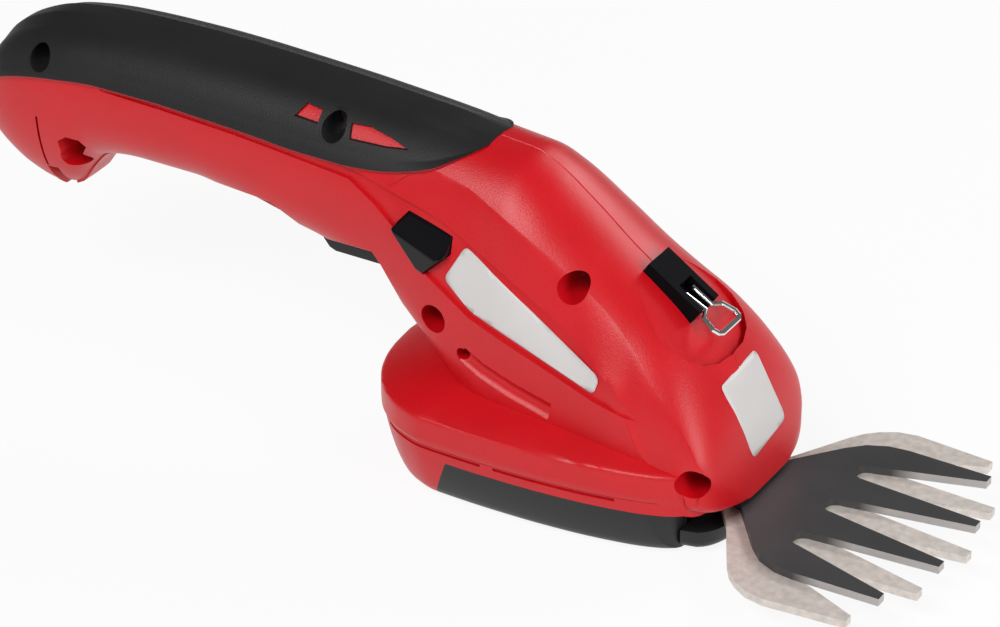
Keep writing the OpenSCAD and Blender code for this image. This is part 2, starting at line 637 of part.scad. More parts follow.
module bottom_cover() {
  color("red") difference() {
    union() {
      difference() {
        tub_shell();
        shoe_zone(pod_len);
        translate([band_front, -pod_half, -over]) cube([pod_len, pod_w, rim_z + 2 * over]);
      }
      at_rear_ears() cylinder_between(head_r + wall, floor_t / 2, rear_seat);
    }
    at_rear_ears() cylinder_between(head_r + slide_gap, -over, floor_t + head_h);
    at_rear_ears() cylinder_between(shank_r, 0, rear_seat + over);
  }
}

module sole_shoe() {
  color("dimgray") difference() {
    union() {
      intersection() {
        tub_shell();
        shoe_zone(shoe_front);
      }
      at_front_ears() cylinder_between(head_r + wall, floor_t / 2, tray_z);
    }
    at_front_ears() cylinder_between(head_r + slide_gap, -over, floor_t + head_h);
    at_front_ears() cylinder_between(shank_r, 0, tray_z + over);
  }
}

holder_half = tail_half * 2.6;
holder_front = pivot_x + tail_half * 1.4;
holder_low = floor_t / 6;

module blade_holder() {
  bow = holder_half * 0.62;
  rear_half = tail_half * 1.8;
  front = [[holder_front - wall, bow], [holder_front, bow / 2]];
  color("dimgray") difference() {
    union() {
      translate([0, 0, floor_t]) linear_extrude(lower_z - floor_t)
        polygon([[pivot_x - tail_reach, -rear_half], [shoe_front, -rear_half], [shoe_front, -holder_half],
          [front[0][0], -front[0][1]], [front[1][0], -front[1][1]], front[1], front[0],
          [shoe_front, holder_half], [shoe_front, rear_half], [pivot_x - tail_reach, rear_half]]);
      translate([0, 0, holder_low]) linear_extrude(floor_t)
        polygon([[shoe_front + slide_gap, -bow], [front[1][0] - slide_gap, -bow / 2],
          [front[1][0] - slide_gap, bow / 2], [shoe_front + slide_gap, bow]]);
    }
    translate([pivot_x, 0, lower_z - bolt_head]) cylinder(r = pivot_r * 2, h = bolt_head + over, $fn = 6);
  }
}

bolt_head = pivot_r * 0.9;

// Point on a tooth line at a given distance ahead of the pivot
function fan(k, x) = [pivot_x + x, (x + fan_back) * tan(fan_step * k)];
// Distance ahead of the pivot of the tip of a tooth
function tip(k, reach) = reach * cos(sweep_step * k);

// Outline of a blade with teeth on the given lines
module blade_plan(lines, reach, root, gap, edge, half) {
  flank = [for (s = edge) [pivot_x + s[0] * lower_reach, s[1] * blade_half]];
  teeth = [for (k = lines) each concat(
    [fan(k, tip(k, reach)) - [0, tip_half], fan(k, tip(k, reach)) + [0, tip_half]],
    k == lines[len(lines) - 1] ? [] :
      [fan(k + 0.5, root) - [0, gap], fan(k + 0.5, root) + [0, gap]])];
  polygon(concat(
    [[pivot_x - tail_reach, -half], [flank[0][0], -half]], [for (p = flank) [p[0], -p[1]]], teeth,
    [for (i = [len(flank) - 1 : -1 : 0]) flank[i]],
    [[flank[0][0], half], [pivot_x - tail_reach, half]]));
}

module lower_blade() {
  color("silver") translate([0, 0, lower_z]) difference() {
    linear_extrude(blade_t)
      blade_plan([-2, -1, 0, 1, 2], lower_reach, gap_root, gap_half, lower_edge_shares, tail_half * 1.4);
    translate([pivot_x, 0, -over]) cylinder(r = pivot_r, h = blade_t + 2 * over);
    translate([crank_x - crank_throw, 0, -over])
      cylinder(r = crank_throw * 2 + crank_pin_r, h = blade_t + 2 * over);
  }
}

pin_slot = crank_pin_r + 0.8 * slide_gap;

module upper_blade() {
  color("dimgray") translate([0, 0, upper_z]) difference() {
    linear_extrude(blade_t) difference() {
      blade_plan([-1.5, -0.5, 0.5, 1.5], upper_reach, slot_root, slot_half, upper_edge_shares, tail_half);
      difference() {
        translate([0, -pod_half]) square([pivot_x, pod_w]);
        translate([pivot_x, 0]) circle(tail_reach);
      }
    }
    translate([pivot_x, 0, -over]) cylinder(r = pivot_r + run_gap, h = blade_t + 2 * over);
    for (k = [-1 : 1]) translate([fan(k, slot_root)[0], fan(k, slot_root)[1], -over])
      cylinder(r = slot_half, h = blade_t + 2 * over);
    translate([pivot_x, 0, -over]) {
      for (r = [tail_reach - slot_half, pivot_r * 4.4]) translate([-r, 0, 0])
        cylinder(r = pin_slot, h = blade_t + 2 * over);
      translate([slot_half - tail_reach, -pin_slot, 0])
        cube([tail_reach - slot_half - pivot_r * 4.4, 2 * pin_slot, blade_t + 2 * over]);
    }
  }
}

washer_t = 0.8 * pivot_r / 3;
nut_h = pivot_r * 0.85;
washer_z = upper_top + run_gap;

module pivot_bolt() {
  color("silver") translate([pivot_x, 0, 0]) {
    translate([0, 0, lower_z - bolt_head]) cylinder(r = pivot_r * 2, h = bolt_head, $fn = 6);
    cylinder_between(pivot_r, lower_z - bolt_head / 2, washer_z + washer_t + nut_h);
  }
}

// Upright cylinder between two heights
module cylinder_between(r, low, high) {
  translate([0, 0, low]) cylinder(r = r, h = high - low);
}

// Upright ring between two heights
module ring(inner, outer, low, high) {
  difference() {
    cylinder_between(outer, low, high);
    cylinder_between(inner, low - over, high + over);
  }
}

module wave_washer() {
  color("silver") translate([pivot_x, 0, 0]) ring(pivot_r, pivot_r * 1.9, washer_z, washer_z + washer_t);
}

module pivot_nut() {
  color("silver") translate([pivot_x, 0, washer_z + washer_t]) difference() {
    cylinder(r = pivot_r * 1.9, h = nut_h, $fn = 6);
    translate([0, 0, -over]) cylinder(r = pivot_r, h = nut_h + 2 * over);
  }
}

// Angle swept by an involute out to a given radius
function sweep(base, r) = r <= base ? 0 : let(a = acos(base / r)) tan(a) * 180 / PI - a;

// Spur gear outline with a tooth on the X axis turned by a given angle
module gear_plan(teeth, turn) {
  press = 20;
  r = gear_size * teeth / 2;
  base = r * cos(press);
  root = r - 1.2 * gear_size;
  crest = r + 0.9 * gear_size;
  // Half tooth at the pitch line, thinned for backlash
  half = 90 / teeth - 1.5 * run_gap / r * 180 / PI;
  function flank(q) = half + sweep(base, r) - sweep(base, q);
  steps = [max(root, base), (max(root, base) + crest) / 2, crest];
  low = flank(steps[0]);
  polygon([for (i = [0 : teeth - 1]) let(a = 360 * i / teeth + turn) each concat(
    [root * [cos(a - low), sin(a - low)]],
    [for (q = steps) q * [cos(a - flank(q)), sin(a - flank(q))]],
    [for (k = [2 : -1 : 0]) let(q = steps[k]) q * [cos(a + flank(q)), sin(a + flank(q))]],
    [root * [cos(a + low), sin(a + low)]])]);
}

module crank_gear() {
  color("white") translate([crank_x, 0, crank_gear_z]) difference() {
    linear_extrude(gear_face) gear_plan(crank_teeth, 180 / crank_teeth);
    translate([0, 0, -over]) cylinder(r = crank_r, h = gear_face + 2 * over);
  }
}

disc_z = upper_top + run_gap * 14;
disc_t = crank_r * 0.6;
bush_low = disc_z + disc_t + run_gap;

module crank_shaft() {
  color("silver") translate([crank_x, 0, 0]) {
    cylinder_between(crank_r, disc_z, crank_gear_z + gear_face);
    cylinder_between(disc_r, disc_z, disc_z + disc_t);
    translate([-crank_throw, 0, 0]) cylinder_between(crank_pin_r, lower_z + blade_t / 4, disc_z + disc_t / 2);
  }
}

bush_r = crank_r * 1.6;
hub_r = crank_r * 2.3;

module crank_bush() {
  color("goldenrod") translate([crank_x, 0, 0]) ring(crank_r + run_gap, bush_r, bush_low, tray_top);
}

module compound_gear() {
  color("white") translate([wheel_x, 0, 0]) difference() {
    union() {
      translate([0, 0, crank_gear_z])
        linear_extrude(wheel_z - crank_gear_z + gear_face / 2) gear_plan(small_teeth, 0);
      translate([0, 0, wheel_z]) linear_extrude(gear_face) gear_plan(wheel_teeth, 180 / wheel_teeth);
    }
    cylinder_between(axle_r + run_gap, tray_z, motor_z);
  }
}

axle_top = wheel_z + gear_face + 4 * run_gap + axle_r;

module compound_axle() {
  color("silver") translate([wheel_x, 0, 0]) cylinder_between(axle_r, tray_z, axle_top);
}

module axle_clip() {
  low = wheel_z + gear_face + 2 * run_gap;
  color("silver") translate([wheel_x, 0, 0]) ring(axle_r, axle_r * 2, low, low + axle_r / 2);
}

motor_post = motor_r * 0.66;
motor_post_r = shank_r * 1.6;

module gear_tray() {
  color("dimgray") difference() {
    union() {
      translate([motor_x - motor_post_r * 2, -ear_front[1], tray_z])
        cube([ear_front[0] - motor_x + motor_post_r * 2, 2 * ear_front[1], tray_t]);
      at_front_ears() cylinder_between(ear_boss_r, tray_z, tray_top);
      for (s = [-1, 1]) translate([motor_x, s * motor_post, 0])
        cylinder_between(motor_post_r, tray_z, motor_z);
      translate([crank_x, 0, 0]) cylinder_between(hub_r, bush_low, tray_top);
      translate([wheel_x, 0, 0]) cylinder_between(axle_r * 2, tray_z, crank_gear_z - 2 * run_gap);
    }
    translate([crank_x, 0, 0]) cylinder_between(bush_r, bush_low - over, tray_top + over);
    translate([wheel_x, 0, 0]) cylinder_between(axle_r, tray_z - over, axle_top);
    at_front_ears() cylinder_between(shank_r, tray_z - over, tray_top + over);
    for (s = [-1, 1]) translate([motor_x, s * motor_post, 0]) {
      cylinder_between(shank_r * 0.7, tray_z - over, motor_z + over);
      cylinder_between(shank_r * 1.3, tray_z - over, tray_top);
    }
  }
}

module motor_screws() {
  color("silver") for (s = [-1, 1]) translate([motor_x, s * motor_post, 0]) {
    cylinder_between(shank_r * 0.7, tray_z + tray_t / 4, motor_z + 2 * shank_r);
    cylinder_between(shank_r * 1.3, tray_z + tray_t / 4, tray_top);
  }
}

module motor_can() {
  color("silver") translate([motor_x, 0, 0]) difference() {
    cylinder_between(motor_r, motor_z, motor_z + motor_len);
    cylinder_between(motor_r - wall / 2, motor_z + wall, motor_z + motor_len + over);
    cylinder_between(shaft_r + run_gap, motor_z - over, motor_z + over + wall);
    for (s = [-1, 1]) translate([0, s * motor_post, 0])
      cylinder_between(shank_r * 0.7, motor_z - over, motor_z + over + wall);
  }
}

module motor_end_cap() {
  color("dimgray") translate([motor_x, 0, motor_z + motor_len]) difference() {
    union() {
      cylinder(r = motor_r, h = cap_h / 2);
      cylinder(r = motor_r * 0.6, h = cap_h);
    }
    translate([0, 0, -over]) cylinder(r = shaft_r + run_gap, h = over + cap_h / 2);
  }
}

rotor_r = motor_r * 0.72;

module motor_shaft() {
  color("silver") translate([motor_x, 0, 0]) {
    cylinder_between(shaft_r, wheel_z - gear_size, motor_z + motor_len + cap_h * 0.4);
    cylinder_between(rotor_r, motor_z + motor_len * 0.25, motor_z + motor_len * 0.8);
  }
}

module pinion() {
  color("goldenrod") translate([motor_x, 0, wheel_z - gear_size / 2]) difference() {
    linear_extrude(gear_face + gear_size) gear_plan(pinion_teeth, 0);
    translate([0, 0, -over]) cylinder(r = shaft_r, h = gear_face + gear_size + 2 * over);
  }
}

// Places a shape on the axis of each cell, with its Z axis pointing forward
module at_cells() {
  for (s = [-1, 1]) translate([cell_rear, s * cell_y, cell_z]) rotate([0, 90, 0]) children();
}

module battery_cells() {
  color("royalblue") at_cells() cylinder(r = cell_r, h = cell_len);
}

module cell_cradle() {
  half = cell_y + cell_r * 0.7;
  color("dimgray") difference() {
    for (x = [cell_rear + cell_len * 0.15, cell_rear + cell_len * 0.75])
      translate([x, -half, floor_t]) cube([cell_len * 0.1, 2 * half, cell_z * 0.5]);
    translate([-over, 0, 0]) at_cells() cylinder(r = cell_r, h = cell_len + 2 * over);
  }
}

module cell_straps() {
  half = cell_y + cell_r / 3;
  color("silver") {
    translate([cell_front, -half, cell_z - cell_r / 3]) cube([strap_t, 2 * half, cell_r * 2 / 3]);
    for (s = [-1, 1]) translate([cell_rear - strap_t, s * cell_y - cell_r / 3, cell_z - cell_r / 3])
      cube([strap_t, cell_r * 2 / 3, cell_r * 2 / 3]);
  }
}

module circuit_board() {
  color("darkgreen") translate([board_rear, -board_t / 2, board_z - trig_half * 0.6])
    cube([board_len, board_t, trig_half * 2]);
}

module charge_socket() {
  color("dimgray") translate([wall / 2 - tail_back, 0, socket_z]) rotate([0, 90, 0]) difference() {
    cylinder(r = socket_r, h = socket_len - wall / 2);
    translate([0, 0, -over]) cylinder(r = socket_r * 0.68, h = socket_len - 2 * wall + over);
  }
}

plunger_x = trig_x + trig_reach * 0.41;
plunger_w = slide_gap * 6;
plunger_out = trig_half / 4;

module switch_body() {
  color("dimgray") difference() {
    translate([-trig_x - switch_len, -switch_half, switch_z])
      cube([switch_len * 1.1, 2 * switch_half, trig_half * 1.4]);
    translate([-plunger_x, 0, 0])
      cylinder_between(plunger_w / 2 + run_gap, switch_z - over, switch_z + plunger_out * 2);
  }
}

module switch_plunger() {
  color("red") translate([-plunger_x, 0, 0])
    cylinder_between(plunger_w / 2, switch_z - plunger_out, switch_z + plunger_out * 0.9);
}

// Places a shape on the trigger pin's line, across the tool
module at_trigger_pin() {
  translate([-trig_x, 0, trig_z]) rotate([90, 0, 0]) children();
}

module trigger() {
  top = trig_low + trig_half;
  lip = trig_half * 0.24;
  color("dimgray") difference() {
    union() {
      across(trig_half) polygon([[-trig_x - trig_reach, top], [-trig_x - trig_reach, trig_low + lip * 1.6],
        [-trig_x - trig_reach + lip, trig_low + lip * 0.4], [-trig_x - trig_reach + 2 * lip, trig_low],
        [-trig_x - lip, trig_low], [-trig_x - slide_gap, trig_low + lip], [-trig_x - slide_gap, trig_z],
        [-trig_x - lip * 2, trig_z], [-trig_x - lip * 3, top]]);
      at_trigger_pin() cylinder(r = trig_pin_r * 2, h = 2 * trig_half, center = true);
      translate([-plunger_x, 0, 0]) cylinder_between(plunger_w, top - lip, switch_z - plunger_out - run_gap);
    }
    at_trigger_pin() cylinder(r = trig_pin_r + run_gap, h = 2 * trig_half + 2 * over, center = true);
  }
}

module trigger_pin() {
  color("silver") at_trigger_pin() cylinder(r = trig_pin_r, h = 2 * pin_len, center = true);
}

// Closed solid through rings of points
module loops(rows) {
  n = len(rows) - 1;
  side = len(rows[0]);
  polyhedron(
    points = [for (row = rows) for (p = row) p],
    faces = concat(
      [for (i = [0 : n - 1]) for (j = [0 : side - 1])
        [i * side + j, i * side + (j + 1) % side, (i + 1) * side + j]],
      [for (i = [0 : n - 1]) for (j = [0 : side - 1])
        [i * side + (j + 1) % side, (i + 1) * side + (j + 1) % side, (i + 1) * side + j]],
      [[for (j = [side - 1 : -1 : 0]) j]],
      [[for (j = [0 : side - 1]) n * side + j]]));
}

// Coil spring along Z
module coil(r, thick, h, turns) {
  per = 9;
  side = 5;
  n = turns * per;
  loops([for (i = [0 : n]) let(a = 360 * i / per, z = thick + (h - 2 * thick) * i / n)
    [for (j = [0 : side - 1]) let(b = 360 * j / side, q = r + thick * cos(b))
      [q * cos(a), q * sin(a), z + thick * sin(b)]]]);
}

spring_wire = 0.5 * wire_r;

module trigger_spring() {
  low = trig_low + trig_half;
  color("silver") translate([-trig_x - trig_reach * 0.85, 0, low])
    coil(trig_half / 3, spring_wire, switch_z - low, 5);
}

// Lock button on the right side
module lock_form() {
  at_lock() {
    translate([0, 0, lock_in]) linear_extrude(flange_t) lock_outline(wall / 2);
    translate([0, 0, lock_in]) linear_extrude(lock_out - lock_in) lock_outline(0);
  }
}

module lock_button_right() {
  color("dimgray") lock_form();
}

module lock_button_left() {
  color("dimgray") mirror([0, 1, 0]) lock_form();
}

// Spring of the right lock button
module lock_coil() {
  at_lock() translate([0, 0, rail_half]) coil(lock_len / 6, spring_wire, lock_in - rail_half, 5);
}

module lock_spring_right() {
  color("silver") lock_coil();
}

module lock_spring_left() {
  color("silver") mirror([0, 1, 0]) lock_coil();
}

bail_gap = wire_r + 2 * run_gap;
bail_lift = latch_h * 0.45;

// Moves a shape from the hinge of the bail to its place on the latch block
module at_bail() {
  translate([latch_x, 0, latch_z]) rotate([0, latch_slope, 0])
    translate([latch_len * 0.15, 0, bail_lift]) rotate([0, bail_slope, 0]) children();
}

module latch_block() {
  pocket = bail_half * 0.38 + wire_r;
  color("dimgray") difference() {
    translate([latch_x, 0, latch_z]) rotate([0, latch_slope, 0])
      translate([-latch_len / 2, -latch_w / 2, -latch_h]) cube([latch_len, latch_w, 2 * latch_h]);
    at_bail() translate([-wire_r * 3, -pocket - run_gap, -wire_r * 2])
      cube([latch_len, 2 * pocket + 2 * run_gap, latch_h * 3]);
    at_bail() rotate([90, 0, 0]) cylinder(r = wire_r + run_gap, h = latch_w - wall, center = true);
  }
}

// Round wire along a path in the XY plane
module wire(path, r) {
  side = 8;
  n = len(path) - 1;
  rows = [for (i = [0 : n]) let(d = path[min(i + 1, n)] - path[max(i - 1, 0)], t = d / norm(d))
    [for (j = [0 : side - 1]) let(b = 360 * j / side, q = r * cos(b))
      [path[i][0] + q * t[1], path[i][1] - q * t[0], r * sin(b)]]];
  loops(rows);
}

module bail() {
  pts = [for (s = bail_shares) [s[0] * bail_len, s[1] * bail_half]];
  end = (latch_w - wall) / 2 - run_gap;
  color("silver") at_bail() wire(concat([[0, -end]], [for (p = pts) [p[0], -p[1]]],
    [for (i = [len(pts) - 1 : -1 : 0]) pts[i]], [[0, end]]), wire_r);
}

module housing_screws() {
  color("silver") at_holes() {
    translate([0, 0, seat_depth]) cylinder(r = head_r, h = head_h);
    translate([0, 0, seat_depth - screw_len]) cylinder(r = shank_r, h = screw_len + head_h / 2);
  }
}

module base_screws() {
  color("silver") {
    at_front_ears() cylinder_between(head_r, floor_t, floor_t + head_h);
    at_front_ears() cylinder_between(shank_r, floor_t + head_h / 2, ear_top - wall);
    at_rear_ears() cylinder_between(head_r, floor_t, floor_t + head_h);
    at_rear_ears() cylinder_between(shank_r, floor_t + head_h / 2, rear_top - wall);
  }
}

module leads() {
  lane = board_t / 2 + wire_r;
  joint_z = switch_z + trig_half * 0.7;
  // The front pair passes over the lock buttons, then down to the motor cap
  over_lock = lock_z + lock_len * 0.44 + lock_room + wall + wire_r + 4 * slide_gap;
  bend = lock_len / 2 - lock_x + lock_room + wall + 2 * wire_r;
  cap_z = motor_z + motor_len + cap_h / 2 + wire_r;
  color("black") for (s = [-1, 1]) translate([0, s * lane, 0]) rotate([90, 0, 0]) {
    wire([[board_rear + board_len * 0.9, board_z], [board_rear + board_len, board_z],
      [-trig_x - switch_len - 2 * wire_r, joint_z], [-trig_x - switch_len, joint_z]], wire_r);
    wire([[switch_len * 0.1 - trig_x, joint_z], [switch_len * 0.1 - trig_x + 2 * wire_r, joint_z],
      [-lock_x - lock_len / 2, over_lock], [bend, over_lock],
      [motor_x - motor_r * 0.95, cap_z], [motor_x - motor_r * 0.7, cap_z]], wire_r);
  }
}

housing_right();
housing_left();
grip_cover();
bottom_cover();
sole_shoe();
blade_holder();
lower_blade();
upper_blade();
pivot_bolt();
wave_washer();
pivot_nut();
crank_gear();
crank_shaft();
crank_bush();
compound_gear();
compound_axle();
axle_clip();
gear_tray();
motor_can();
motor_end_cap();
motor_shaft();
pinion();
motor_screws();
battery_cells();
cell_cradle();
cell_straps();
circuit_board();
charge_socket();
switch_body();
switch_plunger();
trigger();
trigger_pin();
trigger_spring();
lock_button_right();
lock_button_left();
lock_spring_right();
lock_spring_left();
latch_block();
bail();
housing_screws();
base_screws();
leads();
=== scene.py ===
import bpy
import bmesh
import json
import math
from mathutils import Matrix, Vector
from mathutils.bvhtree import BVHTree
from mathutils.geometry import delaunay_2d_cdt


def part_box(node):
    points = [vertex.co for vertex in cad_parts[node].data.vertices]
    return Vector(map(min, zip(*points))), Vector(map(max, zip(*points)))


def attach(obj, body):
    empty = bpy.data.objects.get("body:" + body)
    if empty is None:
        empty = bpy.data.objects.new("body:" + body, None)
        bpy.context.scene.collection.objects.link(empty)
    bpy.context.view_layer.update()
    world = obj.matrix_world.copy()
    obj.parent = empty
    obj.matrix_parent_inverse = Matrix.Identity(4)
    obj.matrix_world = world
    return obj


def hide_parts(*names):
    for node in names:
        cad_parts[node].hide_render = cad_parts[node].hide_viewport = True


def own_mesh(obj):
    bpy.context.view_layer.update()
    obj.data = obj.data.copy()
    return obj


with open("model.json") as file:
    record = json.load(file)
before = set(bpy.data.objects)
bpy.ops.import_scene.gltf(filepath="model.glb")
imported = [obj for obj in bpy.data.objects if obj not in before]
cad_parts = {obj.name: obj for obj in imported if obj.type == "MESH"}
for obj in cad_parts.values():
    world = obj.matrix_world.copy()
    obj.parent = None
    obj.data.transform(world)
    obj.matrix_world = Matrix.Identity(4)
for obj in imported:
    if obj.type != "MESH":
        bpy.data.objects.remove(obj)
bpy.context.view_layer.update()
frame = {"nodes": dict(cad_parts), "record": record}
MM = 0.001

# Camera at the photograph's viewing angle
TARGET = Vector((-26, 0, 36)) * MM
VIEW_BACK = Vector((0.4447, -0.7431, 0.5))
cam_data = bpy.data.cameras.new("camera")
cam_data.lens = 147
cam_data.sensor_width = 36
cam_data.shift_x = 0.010
cam_data.shift_y = -0.0064
cam_data.clip_start = 0.05
cam_data.clip_end = 20
cam = bpy.data.objects.new("camera", cam_data)
cam.location = TARGET + VIEW_BACK.normalized()
cam.rotation_mode = "QUATERNION"
cam.rotation_quaternion = (-VIEW_BACK).to_track_quat("-Z", "Y")
bpy.context.scene.collection.objects.link(cam)
bpy.context.scene.camera = cam
bpy.context.scene.view_settings.view_transform = "Standard"

# Sizes shared with the part's source, in millimetres
BODY_LEN, TAIL_BACK, BODY_H = 224, 172, 90
POD_LEN, POD_BACK, POD_HALF, POD_H = 101.5, 49.5, 35.5, 32
RIM_Z, SHOE_Z, FLOOR_T = 15.5, 12, 2
BAND_FRONT, SHOE_FRONT, SHOE_REAR = 36, 40, 23
GRIP_T, WALL = 1.3, 2.2
BORE_R, SHANK_R, BOSS_R, SEAT_Y = 3.7, 1.6, 4.6, 4
SPINE = [
    (0.000, 0.711, 0.678, 0.644, 0.085, 2.20, 2.2), (0.004, 0.754, 0.683, 0.594, 0.225, 2.30, 2.2),
    (0.016, 0.815, 0.700, 0.550, 0.338, 2.40, 2.2), (0.036, 0.874, 0.722, 0.500, 0.411, 2.50, 2.2),
    (0.067, 0.920, 0.744, 0.450, 0.451, 2.50, 2.2), (0.098, 0.949, 0.756, 0.428, 0.465, 2.50, 2.2),
    (0.123, 0.961, 0.761, 0.450, 0.473, 2.50, 2.2), (0.143, 0.968, 0.767, 0.517, 0.479, 2.50, 2.3),
    (0.165, 0.974, 0.772, 0.572, 0.479, 2.50, 2.4), (0.232, 0.983, 0.778, 0.600, 0.479, 2.50, 2.5),
    (0.299, 0.986, 0.778, 0.600, 0.479, 2.50, 2.5), (0.344, 0.985, 0.772, 0.587, 0.479, 2.50, 2.6),
    (0.411, 0.980, 0.750, 0.556, 0.485, 2.50, 2.8), (0.473, 0.974, 0.717, 0.536, 0.501, 2.50, 3.0),
    (0.536, 0.965, 0.667, 0.500, 0.535, 2.45, 3.2), (0.580, 0.958, 0.622, 0.440, 0.580, 2.35, 3.4),
    (0.625, 0.950, 0.561, 0.350, 0.634, 2.25, 3.8), (0.679, 0.936, 0.511, 0.222, 0.682, 2.20, 4.5),
    (0.710, 0.929, 0.489, 0.178, 0.704, 2.15, 6.0), (0.737, 0.900, 0.467, 0.176, 0.718, 2.15, 6.0),
    (0.786, 0.814, 0.431, 0.176, 0.732, 2.15, 6.0), (0.835, 0.717, 0.394, 0.176, 0.749, 2.15, 6.0),
    (0.866, 0.664, 0.369, 0.176, 0.761, 2.15, 6.0), (0.902, 0.607, 0.340, 0.176, 0.766, 2.15, 6.0),
    (0.929, 0.548, 0.311, 0.176, 0.766, 2.15, 6.0), (0.951, 0.478, 0.287, 0.144, 0.761, 2.15, 6.0),
    (0.971, 0.396, 0.259, 0.127, 0.732, 2.15, 6.0), (0.983, 0.331, 0.233, 0.127, 0.659, 2.15, 6.0),
    (0.992, 0.262, 0.200, 0.127, 0.549, 2.20, 5.0), (0.998, 0.189, 0.161, 0.127, 0.408, 2.30, 4.0),
    (1.000, 0.144, 0.133, 0.127, 0.296, 2.30, 3.0)]
PLAN = [
    (0.000, 0.000), (0.007, 0.225), (0.025, 0.437), (0.058, 0.634), (0.108, 0.806), (0.172, 0.930),
    (0.246, 0.992), (0.369, 1.000), (0.488, 0.992), (0.633, 0.961), (0.744, 0.913), (0.852, 0.834),
    (0.930, 0.690), (0.955, 0.500), (0.968, 0.250), (0.972, 0.000)]
POD = [(0.484, 0.017), (0.531, 0.000), (0.700, 0.000), (0.722, 0.008), (0.740, 0.040), (0.844, 0.310),
       (1.000, 0.732)]
TUB = [(0.000, 0.163, 0.130), (0.052, 0.118, 0.115), (0.194, 0.079, 0.095), (0.774, 0.025, 0.030),
       (1.000, 0.014, 0.007)]
GRIP = [
    (0.000, 0.700), (0.052, 0.795), (0.123, 0.838), (0.192, 0.858), (0.260, 0.859), (0.326, 0.854),
    (0.392, 0.846), (0.458, 0.837), (0.509, 0.837), (0.548, 0.844), (0.584, 0.860), (0.618, 0.882),
    (0.642, 0.909), (0.662, 0.932), (0.674, 0.948), (0.678, 0.970)]
HOLES = [(0.107, 0.881), (0.494, 0.914), (0.803, 0.671), (0.642, 0.483), (0.967, 0.238)]
LOCK = [(-0.50, 0.20), (-0.30, 0.44), (0.48, 0.22), (0.50, -0.02), (0.12, -0.39), (-0.02, -0.34)]
LOCK_LEN, LOCK_X, LOCK_Z, LOCK_IN = 15.4, -33, 61, 13
NECK_X = 0.634 * BODY_LEN - TAIL_BACK
TAIL_ROUND = -160
TINY = 1e-9


class Curve:
    """Smooth curve through points that doesn't overshoot them."""

    def __init__(self, pts):
        self.x = [p[0] for p in pts]
        self.y = [p[1] for p in pts]
        n = len(pts)
        h = [self.x[i + 1] - self.x[i] for i in range(n - 1)]
        d = [(self.y[i + 1] - self.y[i]) / h[i] for i in range(n - 1)]
        m = [d[0]] + [0.0] * (n - 2) + [d[-1]]
        for i in range(1, n - 1):
            if d[i - 1] * d[i] > 0:
                a, b = 2 * h[i] + h[i - 1], h[i] + 2 * h[i - 1]
                m[i] = (a + b) / (a / d[i - 1] + b / d[i])
        self.h, self.m = h, m

    def __call__(self, x):
        if x <= self.x[0]:
            return self.y[0]
        if x >= self.x[-1]:
            return self.y[-1]
        i = 0
        while self.x[i + 1] < x:
            i += 1
        t, h = (x - self.x[i]) / self.h[i], self.h[i]
        return ((2 * t**3 - 3 * t**2 + 1) * self.y[i] + (t**3 - 2 * t**2 + t) * h * self.m[i]
                + (3 * t**2 - 2 * t**3) * self.y[i + 1] + (t**3 - t**2) * h * self.m[i + 1])


columns = [Curve([(r[0], r[k]) for r in SPINE]) for k in range(1, 7)]
plan_curve = Curve(PLAN)
pod_inset = Curve([(z * POD_H, i * POD_HALF) for z, i in POD])
crown_curve = Curve([(i * POD_HALF, z * POD_H) for z, i in POD[2:]])
grip_edge = Curve([(a * BODY_LEN - TAIL_BACK, b * BODY_H) for a, b in GRIP])


def share(x):
    return (x + TAIL_BACK) / BODY_LEN


def top_at(x):
    return columns[0](share(x)) * BODY_H


def mid_at(x):
    return columns[1](share(x)) * BODY_H


def low_at(x):
    return columns[2](share(x)) * BODY_H


def half_at(x):
    return columns[3](share(x)) * POD_HALF


def powers(x):
    return columns[4](share(x)), columns[5](share(x))


def corner(t, p):
    """Point of a rounded corner of power p, at an angle t."""
    along = math.cos(t) ** (2 / p) if t < math.pi / 2 - TINY else 0.0
    up = math.sin(t) ** (2 / p) if t > TINY else 0.0
    return along, up


def flank_y(x, z):
    p = powers(x)[1]
    s = min(max((mid_at(x) - z) / (mid_at(x) - low_at(x)), 0), 0.97)
    return half_at(x) * (1 - s**p) ** (1 / p)


def pod_y(x, z):
    inset = pod_inset(z)
    mid, reach = POD_LEN / 2 - POD_BACK, 1 - 2 * inset / POD_LEN
    return plan_curve(((x - mid) / reach + mid + POD_BACK) / POD_LEN) * (POD_HALF - inset)


def crown_at(x):
    return crown_curve(x + POD_BACK)


def crease(x):
    a, b = RIM_Z, POD_H
    for _ in range(18):
        m = (a + b) / 2
        a, b = (a, m) if flank_y(x, m) > pod_y(x, m) else (m, b)
    return a


# Points along the upper and the lower arc of a ring
UP, DOWN = 26, 18


def upper_arc(x):
    p = powers(x)[0]
    out = []
    for i in range(1, UP + 1):
        c = corner(math.pi / 2 * (1 - i / UP), p)
        out.append((x, -half_at(x) * c[0], mid_at(x) + (top_at(x) - mid_at(x)) * c[1]))
    return out


def lower_arc(x, low):
    p = powers(x)[1]
    out = []
    for i in range(DOWN - 1, 0, -1):
        z = mid_at(x) - (mid_at(x) - low) * corner(math.pi / 2 * (1 - i / DOWN), p)[1]
        out.append((x, -flank_y(x, z), z))
    return out


def side_arc(x, high, foot):
    """Pod's side from the crease to the rim, with rows of points on the wall's upper edge."""
    edge = min(POD[4][0] * POD_H, foot + (high - foot) * 0.75)
    wall = min(POD[2][0] * POD_H, foot + (high - foot) * 0.55)
    heights = [a + (b - a) * k / n for a, b, n in ((high, edge, 9), (edge, wall, 4), (wall, foot, 5))
               for k in range(1, n + 1)]
    out = []
    for z in heights:
        y = max(flank_y(x, z) if x >= NECK_X else 0, pod_y(x, z), 0.01 * POD_HALF)
        out.append((x, -y, z))
    return out + [(x, 0, foot)]


